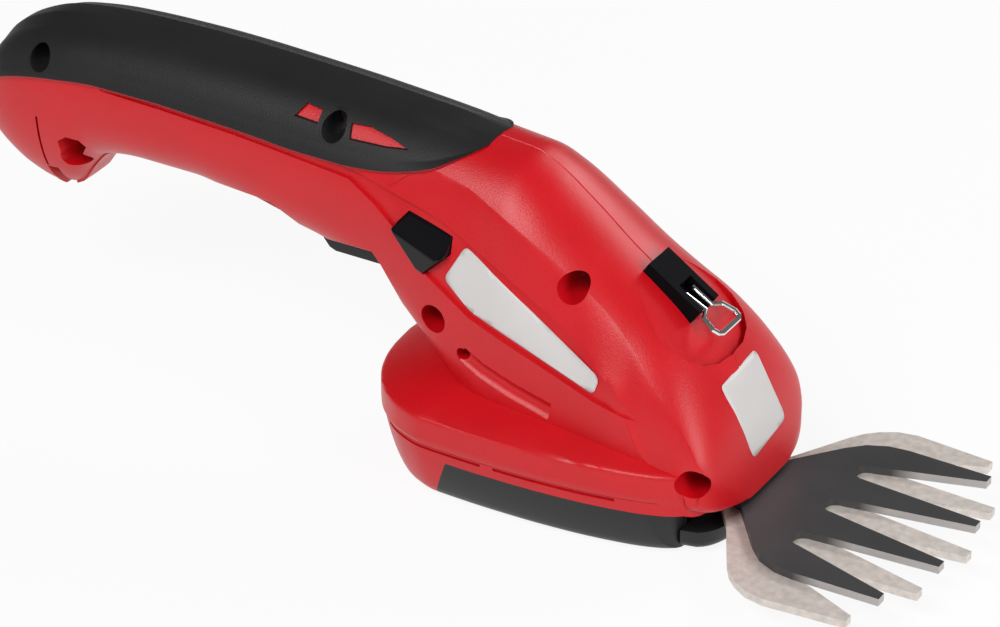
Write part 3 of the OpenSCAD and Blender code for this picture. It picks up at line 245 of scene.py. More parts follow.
def handle_ring(x):
    return [(x, 0, top_at(x))] + upper_arc(x) + lower_arc(x, low_at(x)) + [(x, 0, low_at(x))]


def stern_ring(x):
    return [(x, 0, crown_at(x))] + side_arc(x, crown_at(x), RIM_Z)


def front_ring(x):
    foot, is_open = min(RIM_Z, low_at(x)), x <= NECK_X
    high = crown_at(x) if is_open else min(crease(x), mid_at(x) - (mid_at(x) - foot) / 5)
    y = 0 if is_open else -max(flank_y(x, high), pod_y(x, high))
    return [(x, 0, top_at(x))] + upper_arc(x) + lower_arc(x, high) + [(x, y, high)] + side_arc(x, high, foot)


def spread(a, b, n, power=1.0, late=False):
    """Places from a to b, crowded towards a, or towards b when late."""
    if late:
        return [b - (b - a) * (1 - i / n) ** power for i in range(n + 1)]
    return [a + (b - a) * (i / n) ** power for i in range(n + 1)]


def new_object(name, verts, faces, recalc=True):
    mesh = bpy.data.meshes.new(name)
    mesh.from_pydata([Vector(v) * MM for v in verts], [], faces)
    if recalc:
        bm = bmesh.new()
        bm.from_mesh(mesh)
        bmesh.ops.recalc_face_normals(bm, faces=bm.faces)
        bm.to_mesh(mesh)
        bm.free()
    obj = bpy.data.objects.new(name, mesh)
    bpy.context.scene.collection.objects.link(obj)
    return obj


def body_half(name, side):
    """Closed half of the body: handle and pod stern run forward and join at the neck."""
    handle = [handle_ring(x) for x in
              spread(-TAIL_BACK, TAIL_ROUND, 14, 1.8) + spread(TAIL_ROUND, NECK_X, 100)[1:-1]]
    stern = [stern_ring(x) for x in spread(-POD_BACK + 0.12, NECK_X, 34, 1.6)[:-1]]
    front = [front_ring(x) for x in
             spread(NECK_X, -20, 22, 1.4) + spread(-20, 42, 50)[1:] + spread(42, 52, 16, 1.8, True)[1:]]
    a, b, c = len(handle[0]), len(stern[0]), len(front[0])
    b0 = len(handle) * a
    c0 = b0 + len(stern) * b
    rows_a = [i * a for i in range(len(handle))] + [c0]
    rows_b = [b0 + i * b for i in range(len(stern))] + [c0 + a - 1]
    rows_c = [c0 + i * c for i in range(len(front))]
    faces = []
    for rows, n in ((rows_a, a), (rows_b, b), (rows_c, c)):
        for r, s in zip(rows, rows[1:]):
            faces += [(r + j, r + j + 1, s + j + 1, s + j) for j in range(n - 1)]
    for rows, n, first in ((rows_a, a, 0), (rows_b, b, 0), (rows_c, c, 1)):
        for r, s in list(zip(rows, rows[1:]))[first:]:
            faces.append((r + n - 1, r, s, s + n - 1))
    faces.append((c0 + c - 1, c0 + a - 1, c0, c0 + c, c0 + 2 * c - 1))
    faces += [tuple(range(a)), tuple(b0 + j for j in range(b)), tuple(rows_c[-1] + j for j in range(c))]
    verts = [(x, -side * y, z) for x, y, z in sum(handle, []) + sum(stern, []) + sum(front, [])]
    return new_object(name, verts, faces)


def skin(n, rows):
    """Faces of a closed shape made of rows of rings with n points each, end faces first."""
    last = (rows - 1) * n
    faces = [tuple(range(n)), tuple(range(last, last + n))]
    for a in range(0, last, n):
        b = a + n
        faces += [(a + k, a + (k + 1) % n, b + (k + 1) % n, b + k) for k in range(n)]
    return faces


def circle(sides):
    """Cosines and sines of evenly spaced angles."""
    angles = [2 * math.pi * k / sides for k in range(sides)]
    return [(math.cos(a), math.sin(a)) for a in angles]


# Cutting shapes
def prism(pts, y0, y1):
    """Side outline, as places along the tool and heights, run across the tool."""
    verts = [(x, y, z) for y in (y0, y1) for x, z in pts]
    return new_object("cutter", verts, skin(len(pts), 2))


def plate(pts, z0, z1):
    """Outline seen from above, run upwards."""
    verts = [(x, y, z) for z in (z0, z1) for x, y in pts]
    return new_object("cutter", verts, skin(len(pts), 2))


def rod(a, b, r, sides=40):
    """Round bar from a to b."""
    a, b = Vector(a), Vector(b)
    q = (b - a).to_track_quat("Z", "Y")
    ring = [q @ Vector((r * c, r * s, 0)) for c, s in circle(sides)]
    return new_object("cutter", [end + v for end in (a, b) for v in ring], skin(sides, 2))


def cross_rod(place, y0, y1, r):
    """Round bar across the tool, at a place along it and a height."""
    x, z = place
    return rod((x, y0, z), (x, y1, z), r)


def tube(path, r, sides=8, name="cutter"):
    """Round tube along a path, closed at both ends."""
    pts = [Vector(p) for p in path]
    verts, up = [], None
    for i, p in enumerate(pts):
        d = (pts[min(i + 1, len(pts) - 1)] - pts[max(i - 1, 0)]).normalized()
        up = (up - d * up.dot(d)).normalized() if up else d.orthogonal().normalized()
        across = d.cross(up)
        verts += [p + (up * c + across * s) * r for c, s in circle(sides)]
    return new_object(name, verts, skin(sides, len(pts)))


def box(lo, hi):
    (a, b, c), (d, e, f) = lo, hi
    verts = [(a, b, c), (d, b, c), (d, e, c), (a, e, c), (a, b, f), (d, b, f), (d, e, f), (a, e, f)]
    faces = [(0, 3, 2, 1), (4, 5, 6, 7), (0, 1, 5, 4), (1, 2, 6, 5), (2, 3, 7, 6), (3, 0, 4, 7)]
    return new_object("cutter", verts, faces)


def turned(obj, centre, angle):
    """Turns a cutting shape about a line across the tool."""
    c = Vector(centre) * MM
    obj.data.transform(Matrix.Translation(c) @ Matrix.Rotation(angle, 4, "Y") @ Matrix.Translation(-c))
    return obj


def carve(obj, tools, operation="DIFFERENCE"):
    """Cuts obj by the tools, which are then removed."""
    group = bpy.data.collections.new("tools")
    for t in tools:
        group.objects.link(t)
    mod = obj.modifiers.new("carve", "BOOLEAN")
    mod.operation, mod.solver = operation, "EXACT"
    mod.operand_type, mod.collection = "COLLECTION", group
    bpy.context.view_layer.update()
    dg = bpy.context.evaluated_depsgraph_get()
    mesh = bpy.data.meshes.new_from_object(obj.evaluated_get(dg))
    obj.modifiers.clear()
    old, obj.data = obj.data, mesh
    bpy.data.meshes.remove(old)
    for t in tools:
        data = t.data
        bpy.data.objects.remove(t)
        bpy.data.meshes.remove(data)
    bpy.data.collections.remove(group)
    return obj


def cleaned(obj, few=12):
    """Merges points that coincide and drops the specks that a cut can leave behind."""
    bm = bmesh.new()
    bm.from_mesh(obj.data)
    bmesh.ops.remove_doubles(bm, verts=bm.verts, dist=0.004 * MM)
    bmesh.ops.dissolve_degenerate(bm, edges=bm.edges, dist=0.004 * MM)
    specks = []
    for first in bm.faces:
        if not first.tag:
            first.tag = True
            island = [first]
            for face in island:
                for near in [f for e in face.edges for f in e.link_faces if not f.tag]:
                    if not near.tag:
                        near.tag = True
                        island.append(near)
            if len(island) < few:
                specks += island
    bmesh.ops.delete(bm, geom=specks, context="FACES")
    bm.to_mesh(obj.data)
    bm.free()
    return obj


def smooth(obj, angle=35):
    obj.data.shade_smooth()
    obj.data.set_sharp_from_angle(angle=math.radians(angle))
    return obj


def hole_places():
    return [(a * BODY_LEN - TAIL_BACK, b * BODY_H) for a, b in HOLES]


def grown(pts, grow):
    """Outline moved out by a distance, corner by corner."""
    n = len(pts)
    area = sum(pts[i][0] * pts[(i + 1) % n][1] - pts[(i + 1) % n][0] * pts[i][1] for i in range(n))
    sign = 1 if area > 0 else -1
    out = []
    for i in range(n):
        p, q, r = (Vector(pts[k % n]).to_2d() for k in (i - 1, i, i + 1))
        a, b = (q - p).normalized(), (r - q).normalized()
        na, nb = Vector((a.y, -a.x)) * sign, Vector((b.y, -b.x)) * sign
        m = (na + nb).normalized()
        out.append(tuple(q + m * (grow / max(m.dot(na), 0.3))))
    return out


def lock_outline(grow):
    return grown([(LOCK_X + a * LOCK_LEN, LOCK_Z + b * LOCK_LEN) for a, b in LOCK], grow)


# Rooms inside the body: rows of the spine, distance in, reach across the tool and growth of the posts
ROOM_ROWS = [8, 9, 11, 13, 14, 15, 17, 18, 20, 22, 24]
BODY_ROOMS = [(ROOM_ROWS, 4.4, -1, 10.65, 0), (ROOM_ROWS, 7.5, 9.65, 13.85, 0.55),
              ([17, 18, 20, 21], 11.7, 12.85, 16.5, 1.1)]
# Rooms inside the pod: distance in, lower and upper height
POD_ROOMS = [(2.86, 14.5, 21), (5.94, 15.5, 23.4), (14.1, 16.5, 26)]
POD_ROOM_FRONT = 38.5
HANG_EYE, EYE_R, EYE_WALL_R = (-141.1, 51.75), 3.15, 5.4
LOCK_ISLAND = 3.6
PAST = 3


def room(rows, inset, y0, y1, grow, side):
    """Space inside the upper body, with the screw bosses, the lock's island and the eye left standing."""
    spots = [SPINE[i] for i in rows]
    pts = [(s[0] * BODY_LEN - TAIL_BACK, s[1] * BODY_H - inset) for s in spots]
    pts += [(s[0] * BODY_LEN - TAIL_BACK, s[3] * BODY_H + inset) for s in reversed(spots)]
    shape = prism(pts, side * y0, side * y1)
    near, far = side * (y0 - PAST), side * (y1 + PAST)
    posts = [cross_rod(p, near, far, BOSS_R + grow) for p in hole_places()]
    posts.append(prism(lock_outline(LOCK_ISLAND + grow), near, far))
    posts.append(cross_rod(HANG_EYE, near, far, EYE_WALL_R + grow))
    return carve(shape, posts)


def level_plan(inset, front):
    mid, reach = POD_LEN / 2 - POD_BACK, 1 - 2 * inset / POD_LEN
    xs = [mid + (s * POD_LEN - POD_BACK - mid) * reach for s, _ in PLAN]
    return [(min(x, front), w * (POD_HALF - inset)) for x, (_, w) in zip(xs, PLAN)]


# Outlines of the side relief, as places along the tool and heights
LEDGE = [(-129, 76.3), (-110.8, 76.5), (-94.4, 76.0), (-79.7, 75.1), (-66.5, 74.3), (-55.5, 74.2),
         (-45.7, 72.6), (-36.2, 70.2), (-28.5, 67.8), (-21.8, 65.2), (-12.2, 61.2), (-0.7, 55.3),
         (10.7, 49.0), (19.4, 43.2), (26.6, 38.0), (30.0, 34.3)]
RIDGE = [(18.5, 36.4), (-17.5, 47.6), (-26.5, 52.6), (-32.0, 55.6), (-40.2, 63.2), (-46.6, 67.4),
         (-55.2, 71.8), (-70.1, 72.8), (-89.5, 74.2), (-111.1, 75.2), (-129, 75.6)]
BROW = [(-36, 79.2), (-26.4, 78.0), (-12.9, 73.6), (-3.0, 68.8), (5.2, 64.0), (14.0, 58.4), (24.4, 50.6),
        (35.0, 40.6), (43.0, 31.2), (47.0, 24.6)]
ledge_curve, ridge_curve, brow_curve = Curve(LEDGE), Curve(RIDGE[::-1]), Curve(BROW)


def fine(pts, step=1.0):
    """Outline points filled in along a smooth curve of x."""
    c = Curve(sorted(pts))
    a, b = min(p[0] for p in pts), max(p[0] for p in pts)
    n = int((b - a) / step)
    out = [(a + (b - a) * i / n, c(a + (b - a) * i / n)) for i in range(n + 1)]
    return out if pts[0][0] < pts[-1][0] else out[::-1]


def sunk(side, depth, along):
    """Copy of a body half whose surface is let in by a depth that depends on the place."""
    obj = body_half("sunk", side)
    for v in obj.data.vertices:
        x, y, z = v.co / MM
        if along == "Y":
            v.co.y -= side * min(depth(x, z), abs(y)) * MM
        else:
            v.co.z -= depth(x, y) * MM
    return obj


def rise(x, start, run):
    """Smooth step from 0 to 1 over a run that begins at start."""
    t = min(max((x - start) / run, 0), 1)
    return t * t * (3 - 2 * t)


# Depths of the relief, and the place from which the pod bounds the side
LEAST, FALL, BULGE, STEP, STEP_MORE, RIDGE_DEPTH, SCOOP_DEPTH = 0.04, 2.2, 4, 0.7, 0.6, 1.1, 2.6
POD_FROM = 24
creases = {}


def flank_foot(x):
    """Height where the fall of the side ends: the panel's ledge, then the pod towards the nose."""
    if x not in creases:
        creases[x] = crease(x) if x > POD_FROM - 2 else 0
    return ledge_curve(x) + (creases[x] - ledge_curve(x)) * rise(x, POD_FROM, 10)


def flank_depth(x, z):
    """Fall of the side below the brow line, crisp at the brow and fading out towards the nose."""
    high = brow_curve(x)
    t = min(max((high - z) / max(high - flank_foot(x), 2), 0), 1)
    fade = 1 - rise(x, 8, 16)
    deep = FALL * t * (2 - t) * fade + BULGE * t * (1 - t) * (1 - fade)
    return LEAST + deep * rise(x, -46, 20)


def panel_depth(x, z):
    """Recess that is deep under its upper edge and shallow along the ridge."""
    step = (STEP + STEP_MORE * rise(x, -70, 20)) * (1 - rise(x, 16, 14)) * rise(x, -133, 12)
    deep = flank_depth(x, ledge_curve(x)) + step
    s = min(max((ledge_curve(x) - z) / max(ledge_curve(x) - ridge_curve(x), 0.6), 0), 1)
    return LEAST + deep + (min(deep, RIDGE_DEPTH) - deep) * s


def scoop_depth(x, y):
    return SCOOP_DEPTH * rise(x, 19, 20)


# Latch scoop seen from above, trough at the crease, slits and eye shape at the tail
SCOOP = [(17, -7.6), (21, -9.6), (24.4, -13.2), (28, -15.4), (32, -15.6), (36.4, -13.8), (39.1, -10.6),
         (40.6, -6), (41, 0)]
SEAM_R = 0.3
TROUGH, TROUGH_R = [(-19.5, 25.8, 37.0), (-14, 26.4, 34.6), (-5, 27.0, 32.0), (6, 27.4, 29.6)], 2.8
DIMPLE, DIMPLE_R = (-19.3, 36.9), 1.7
SLIT_X, SLIT_END, NOTCH_END = -149.9, -149.2, -146.6
EYE_SHAPE = [(-143.8, 57.2), (-141.0, 59.2), (-137.4, 58.8), (-136.4, 56.6), (-138.4, 53.6),
             (-143.6, 52.6)]
# Distance from the middle that is past the handle on either side, and one past the whole body
WIDE, FAR = 30, 40


def relief(side):
    """Shallow cuts in the outside of a housing half."""
    flank = fine(BROW) + [(x, flank_foot(x) - (1.5 if x < POD_FROM else 0)) for x in spread(46, -45.7, 90)]
    panel = fine(LEDGE) + RIDGE
    scoop = SCOOP + [(x, -y) for x, y in reversed(SCOOP[:-1])]
    tools = [carve(prism(flank, side * 9, side * 60), [sunk(side, flank_depth, "Y")]),
             carve(prism(panel, side * 9, side * 60), [sunk(side, panel_depth, "Y")]),
             carve(plate(scoop, 20, 90), [sunk(side, scoop_depth, "Z")])]
    tools.append(tube([(x, 0, top_at(x)) for x in spread(-24, 50, 60)], SEAM_R, 6))
    tools.append(tube([(x, side * y, z) for x, y, z in TROUGH], TROUGH_R, 16))
    tools.append(cross_rod(DIMPLE, side * WIDE, side * 18.6, DIMPLE_R))
    near, far = sorted((side * 10.5, side * 25))
    tools.append(box((SLIT_X, near, 47.5), (SLIT_END, far, 63)))
    tools.append(box((SLIT_X, -WIDE, 30), (NOTCH_END, WIDE, 47.2)))
    tools.append(prism(EYE_SHAPE, -WIDE, WIDE))
    return tools


# Lower outline of the handle, the web over the trigger and the neck, on the plane of the trigger's flank
WEB = [(-110, 53.8), (-85, 52.2), (-72, 46.4), (-55, 46.6), (-52.3, 43.4), (-45.2, 33)]
WEB_Y, WEB_LEAN, WEB_RISE, WEB_REACH = 7.3, 0.598, 0.673, 20


def web_cut(side):
    """Slanting cut under the handle that bares the trigger's flank and narrows the neck behind it."""
    pts = WEB + [(WEB[0][0], WEB[-1][1])]
    lean, lift = WEB_LEAN * WEB_REACH, WEB_RISE * WEB_REACH
    verts = [(x, side * WEB_Y, z) for x, z in pts]
    verts += [(x + lean, side * (WEB_Y + WEB_REACH), z + lift) for x, z in pts]
    return new_object("cutter", verts, skin(len(pts), 2))


# Openings for the works
MOTOR_X, MOTOR_R = -3, 12.25
TRIGGER_ROOM = [(-72.4, -7.6, 36.5), (-49.7, 7.6, 57)]
TRIGGER_PIN, PIN_ROOM_R, TRIGGER_SWING = (-50, 57), 3.3, 11
PIVOT_X, PIVOT_R = 40, 7.2
SOCKET_Z, SOCKET_R = 61.47, 4.07
LATCH_ROOM, LATCH_MID, LATCH_TILT = [(17.7, -4.8, 54.6), (34.3, 4.8, 65)], (26, 0, 57.2), 33.6


def housing(name, side):
    """One half of the housing, with side -1 on the right and 1 on the left."""
    obj = body_half(name, side)
    tools = [room(*spec, side) for spec in BODY_ROOMS]
    for inset, z0, z1 in POD_ROOMS:
        pts = [(x, side * y) for x, y in level_plan(inset, POD_ROOM_FRONT)]
        pts[0], pts[-1] = (pts[0][0], -side), (pts[-1][0], -side)
        tools.append(plate(pts, z0, z1))
    tools.append(rod((MOTOR_X, 0, 32), (MOTOR_X, 0, 57), MOTOR_R, 64))
    tools.append(box(*TRIGGER_ROOM))
    tools.append(cross_rod(TRIGGER_PIN, -7.6, 7.6, PIN_ROOM_R))
    tools.append(rod((PIVOT_X, 0, 8), (PIVOT_X, 0, 17.7), PIVOT_R))
    tools.append(rod((-173, 0, SOCKET_Z), (-158.4, 0, SOCKET_Z), SOCKET_R))
    tools.append(prism(lock_outline(1.4), side * 1.76, side * 15.2))
    tools.append(prism(lock_outline(0.3), side * LOCK_IN, side * FAR))
    tools.append(cross_rod(HANG_EYE, -WIDE, WIDE, EYE_R))
    tools.append(turned(box(*LATCH_ROOM), LATCH_MID, math.radians(LATCH_TILT)))
    if side < 0:
        for place in hole_places():
            tools.append(cross_rod(place, -SEAT_Y, -FAR, BORE_R))
            tools.append(cross_rod(place, 1, -SEAT_Y - 1, SHANK_R + 0.3))
    for t in relief(side) + [web_cut(side)]:
        carve(obj, [t])
    return cleaned(carve(obj, tools))


trees = {}


def tree_of(obj):
    """Search tree over a mesh, in millimetres."""
    faces = [tuple(q.vertices) for q in obj.data.polygons]
    return BVHTree.FromPolygons([v.co / MM for v in obj.data.vertices], faces)


# Materials
def add_node(tree, kind, values=()):
    """New shader node, with values for its named inputs."""
    made = tree.nodes.new("ShaderNode" + kind)
    for key, value in dict(values).items():
        made.inputs[key].default_value = value
    return made


def link(tree, source, output, target, socket):
    tree.links.new(source.outputs[output], target.inputs[socket])


def material(name, colour, rough, metal, grain, grain_scale, vary, spec):
    """Procedural finish: colour and roughness vary with noise, and a fine grain lifts the surface."""
    mat = bpy.data.materials.new(name)
    mat.use_nodes = True
    nt = mat.node_tree
    bsdf = nt.nodes["Principled BSDF"]
    bsdf.inputs["Metallic"].default_value = metal
    bsdf.inputs["Specular IOR Level"].default_value = spec
    coord = add_node(nt, "TexCoord")
    mapping = add_node(nt, "Mapping")
    link(nt, coord, "Object", mapping, "Vector")
    cloud = add_node(nt, "TexNoise", {"Scale": 60, "Detail": 4})
    link(nt, mapping, "Vector", cloud, "Vector")
    ramp = add_node(nt, "ValToRGB")
    ends = ramp.color_ramp.elements
    ends[0].position, ends[1].position = 0.3, 0.7
    ends[0].color = [c * (1 - vary) for c in colour] + [1]
    ends[1].color = [min(c * (1 + vary), 1) for c in colour] + [1]
    link(nt, cloud, "Fac", ramp, "Fac")
    link(nt, ramp, "Color", bsdf, "Base Color")
    span = add_node(nt, "MapRange", {"To Min": rough * 0.88, "To Max": min(rough * 1.12, 1)})
    link(nt, cloud, "Fac", span, "Value")
    link(nt, span, "Result", bsdf, "Roughness")
    speckle = add_node(nt, "TexNoise", {"Scale": grain_scale, "Detail": 3})
    link(nt, mapping, "Vector", speckle, "Vector")
    bump = add_node(nt, "Bump", {"Strength": grain, "Distance": 0.0002})
    link(nt, speckle, "Fac", bump, "Height")
    link(nt, bump, "Normal", bsdf, "Normal")
    return mat


def ground_edges(mat, colour, start, full):
    """Bare metal on a blade's upright faces, coming in along the teeth, where the coat is ground off."""
    nt = mat.node_tree
    normal = add_node(nt, "NewGeometry")
    upright = add_node(nt, "SeparateXYZ")
    link(nt, normal, "Normal", upright, "Vector")
    tilt = add_node(nt, "Math")
    tilt.operation = "ABSOLUTE"
    link(nt, upright, "Z", tilt, 0)
    flat = add_node(nt, "MapRange", {"From Min": 0.5, "From Max": 0.35})
    link(nt, tilt, "Value", flat, "Value")
    place = add_node(nt, "SeparateXYZ")
    link(nt, nt.nodes["Texture Coordinate"], "Object", place, "Vector")
    along = add_node(nt, "MapRange", {"From Min": start * MM, "From Max": full * MM})
    link(nt, place, "X", along, "Value")
    both = add_node(nt, "Math")
    both.operation = "MULTIPLY"
    link(nt, flat, "Result", both, 0)
    link(nt, along, "Result", both, 1)
    mix = add_node(nt, "MixRGB", {"Color2": (*colour, 1)})
    link(nt, both, "Value", mix, "Fac")
    link(nt, nt.nodes["Color Ramp"], "Color", mix, "Color1")
    link(nt, mix, "Color", nt.nodes["Principled BSDF"], "Base Color")


# Finishes: colour, roughness, metal, strength and scale of the grain, variation, specular level
FINISHES = {
    "red_plastic": ((0.60, 0.002, 0.008), 0.38, 0.0, 0.3, 2600, 0.04, 0.5),
    "soft_grip": ((0.010, 0.010, 0.011), 0.55, 0.0, 0.35, 2200, 0.12, 0.4),
    "black_plastic": ((0.013, 0.013, 0.014), 0.42, 0.0, 0.2, 2600, 0.1, 0.4),
    "gloss_black": ((0.008, 0.008, 0.009), 0.32, 0.0, 0.06, 2600, 0.1, 0.3),
    "bare_steel": ((0.72, 0.66, 0.61), 0.50, 0.4, 0.25, 900, 0.12, 0.5),
    # Darker black with almost no reflection: painted shade on the lock buttons' upper faces and on the latch
    # block
    "painted_shade_black": ((0.005, 0.005, 0.006), 0.5, 0.0, 0.1, 2600, 0.1, 0.02),
    "coated_steel": ((0.045, 0.045, 0.047), 0.42, 0.0, 0.12, 1500, 0.1, 0.5),
    "bright_wire": ((0.80, 0.80, 0.81), 0.12, 1.0, 0.03, 900, 0.03, 0.5),
    "zinc_steel": ((0.60, 0.60, 0.61), 0.30, 1.0, 0.08, 900, 0.05, 0.5),
    "bronze": ((0.62, 0.43, 0.18), 0.35, 1.0, 0.1, 1200, 0.06, 0.5),
    "nylon": ((0.76, 0.75, 0.70), 0.45, 0.0, 0.05, 1200, 0.03, 0.5),
    "grey_plastic": ((0.10, 0.10, 0.11), 0.5, 0.0, 0.15, 2400, 0.06, 0.5),
    "cell_wrap": ((0.03, 0.10, 0.42), 0.28, 0.0, 0.03, 800, 0.05, 0.5),
    "board_green": ((0.02, 0.16, 0.05), 0.35, 0.0, 0.08, 600, 0.15, 0.5),
    "lead_cover": ((0.015, 0.015, 0.016), 0.5, 0.0, 0.05, 1500, 0.1, 0.5),
    "bare_label": ((0.64, 0.62, 0.61), 0.45, 0.0, 0.04, 1500, 0.02, 0.5),
}
MATS = {name: material(name, *look) for name, look in FINISHES.items()}
MATS["bare_steel"].node_tree.nodes["Mapping"].inputs["Scale"].default_value = (8, 8, 8)
MATS["cell_wrap"].node_tree.nodes["Principled BSDF"].inputs["Coat Weight"].default_value = 0.3
ground_edges(MATS["coated_steel"], (0.44, 0.42, 0.41), 74, 81)
slots = {p["node"]: p["material_slot"] for p in frame["record"]["subparts"]}
for name, obj in frame["nodes"].items():
    obj.data.materials.clear()
    obj.data.materials.append(MATS[slots[name]])
    smooth(obj, 30)


def finish_piece(obj, body, mat, *nodes):
    obj.data.materials.clear()
    obj.data.materials.append(MATS[mat])
    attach(obj, body)
    if nodes:
        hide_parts(*nodes)
    return obj


# Housing halves
for side, name in ((-1, "housing_right"), (1, "housing_left")):
    shell = housing("shell_" + name[8:], side)
    trees[side] = tree_of(shell)
    smooth(shell, 24)
    finish_piece(shell, "chassis", "red_plastic", name)


# Grip cover: points across its flat top strip, slope beside the strip, windows and relief line
STRIP_STEPS = (0.5, 0.97, 1.05)
SLOPE, SLOPE_W = 0.26, 3.6
WINDOWS = [[(-72.7, 82.6), (-70.6, 85.4), (-66.0, 84.9), (-65.9, 82.2)],
           [(-57.4, 83.9), (-52.3, 84.0), (-46, 83.0), (-40.2, 81.6), (-47, 81.0), (-56.4, 80.8)]]
LINE, LINE_R = [(-125, 83.2), (-115.4, 83.8), (-92.1, 84.5), (-73.5, 82.9)], 0.35
SLEEVE_R, SLEEVE_BORE_R, SLEEVE_SIDES = 3.69, 3.2, 40


def strip_at(x):
    """Half width of the flat strip along the grip's top."""
    return min(2.7, half_at(x) * 0.16)


def grip_arc(x, proud, n=30):
    half, mid, p = half_at(x) + proud, mid_at(x), powers(x)[0]
    up = top_at(x) - mid + proud
    edge = min(grip_edge(x) - mid, up * 0.995)
    low = math.asin((max(edge, 0) / up) ** (p / 2))
    reach = half * corner(low, p)[0]
    strip = min(strip_at(x), reach * 0.5)
    out = []
    for i in range(-n, n + 1):
        k = abs(i)
        y = half * corner(math.pi / 2 - (math.pi / 2 - low) * k / n, p)[0]
        if k > len(STRIP_STEPS):
            y = strip * STRIP_STEPS[-1] + y * (1 - strip * STRIP_STEPS[-1] / reach)
        elif k:
            y = strip * STRIP_STEPS[k - 1]
        z = mid + up * (1 - min(y / half, 1) ** p) ** (1 / p)
        z -= SLOPE * min(max(y - strip, 0), SLOPE_W) * proud / GRIP_T * min((n - k) / 6, 1)
        out.append((x, y if i > 0 else -y, z))
    return out


def grip_y(x, z, proud):
    half, mid, p = half_at(x) + proud, mid_at(x), powers(x)[0]
    return half * (1 - ((z - mid) / (top_at(x) - mid + proud)) ** p) ** (1 / p)


def grip_cover():
    tip = -40
    while grip_edge(tip) - mid_at(tip) < 0.99 * (top_at(tip) - mid_at(tip)):
        tip += 0.05
    xs = spread(-TAIL_BACK, TAIL_ROUND, 12, 1.8) + spread(TAIL_ROUND, -32, 90)[1:]
    xs += spread(-32, tip, 24, 1.6, True)[1:]
    outer = [grip_arc(x, GRIP_T * (1 - 0.7 * rise(x, -36, 15))) for x in xs]
    inner = [grip_arc(x, 0.02) for x in xs]
    m, n = len(xs), len(outer[0])
    back = m * n
    faces = []
    for i in range(m - 1):
        for j in range(n - 1):
            a, b, c, d = i * n + j, i * n + j + 1, (i + 1) * n + j + 1, (i + 1) * n + j
            faces += [(a, b, c, d), (back + d, back + c, back + b, back + a)]
    rim = [(i * n + j, (i + 1) * n + j) for i in range(m - 1) for j in (0, n - 1)]
    rim += [(i * n + j, i * n + j + 1) for i in (0, m - 1) for j in range(n - 1)]
    faces += [(a, b, back + b, back + a) for a, b in rim]
    obj = new_object("grip_skin", sum(outer, []) + sum(inner, []), faces)
    trees[0] = tree_of(obj)
    tools = [cross_rod(place, -SEAT_Y, -FAR, BORE_R) for place in hole_places()[:2]]
    line = Curve(LINE)
    for side in (-1, 1):
        tools += [prism(window, side * 5, side * WIDE) for window in WINDOWS]
        path = [(x, side * (grip_y(x, line(x), GRIP_T) - LINE_R), line(x))
                for x in spread(LINE[0][0], LINE[-1][0], 40)]
        tools.append(tube(path, LINE_R, 6))
    smooth(cleaned(carve(obj, tools)), 32)
    for e in obj.data.edges:
        ends = [obj.data.vertices[i].co / MM for i in e.vertices]
        if all(abs(abs(q.y) - strip_at(q.x)) < 0.15 and q.z > top_at(q.x) + 0.6 for q in ends):
            e.use_edge_sharp = True
    return obj


def shade_lining(name, x, z):
    """Soft lining of a screw hole in the grip, flush with the grip's outside: the grip's overmould carried
    into the hole, and painted shade that darkens the hole's inside.
    """
    n = SLEEVE_SIDES
    verts, faces = [], []
    for r, outer in ((SLEEVE_R, False), (SLEEVE_BORE_R, False), (SLEEVE_BORE_R, True), (SLEEVE_R, True)):
        for c, s in circle(n):
            u, v = x + r * c, z + r * s
            spot = trees[0].ray_cast(Vector((u, -60, v)), Vector((0, 1, 0)))[0]
            verts.append((u, spot.y + 0.05 if outer else -SEAT_Y - 2.4, v))
    for i in range(4):
        a, b = i * n, (i + 1) % 4 * n
        faces += [(a + k, a + (k + 1) % n, b + (k + 1) % n, b + k) for k in range(n)]
    return smooth(new_object(name, verts, faces))


finish_piece(grip_cover(), "chassis", "soft_grip", "grip_cover")
# Black linings in the two grip holes: partly the grip's overmould, partly painted shade inside the holes
for k, (x, z) in enumerate(hole_places()[:2]):
    finish_piece(shade_lining("grip_sleeve_%d" % (k + 1), x, z), "chassis", "soft_grip")

# Red bead under the grip edge
BEAD_R, BEAD_DROP = 0.55, 0.5
bead_xs = spread(-171.6, TAIL_ROUND, 16, 1.6) + spread(TAIL_ROUND, -34, 120)[1:]
bead_xs += spread(-34, -21.2, 24)[1:]
near = [grip_arc(x, 0)[0] for x in bead_xs]
bead = [(x, y, z - BEAD_DROP) for x, y, z in near]
bead += [(x, -y, z - BEAD_DROP) for x, y, z in reversed(near)]
finish_piece(smooth(tube(bead, BEAD_R, 10, "grip_bead"), 60), "chassis", "red_plastic")


# Base: red bottom cover and black shoe
TUB_LEVELS = [0, 0.01, 0.03, 0.052, 0.09, 0.14, 0.194, 0.3, 0.45, 0.6, 0.774, 0.88, 1.0]
NOSE_END = 44
RIM_SLITS, SLIT_Z, SLIT_R = ((-37, -8), (-4.5, 27)), 14.8, 0.6


def tub_ring(z_share, inset_share, draw, inset=0.0):
    i = inset_share * POD_HALF + inset
    mid, reach = POD_LEN / 2 - POD_BACK, 1 - 2 * i / POD_LEN
    front = mid - POD_LEN / 4
    out = []
    for s in spread(0, 0.1, 18, 1.7) + spread(0.1, PLAN[-1][0], 70)[1:]:
        x = mid + (s * POD_LEN - POD_BACK - mid) * reach
        x = front - (front - x) * (1 - draw) if x < front else x
        out.append((x, plan_curve(s) * (POD_HALF - i), z_share * RIM_Z + inset))
    return out


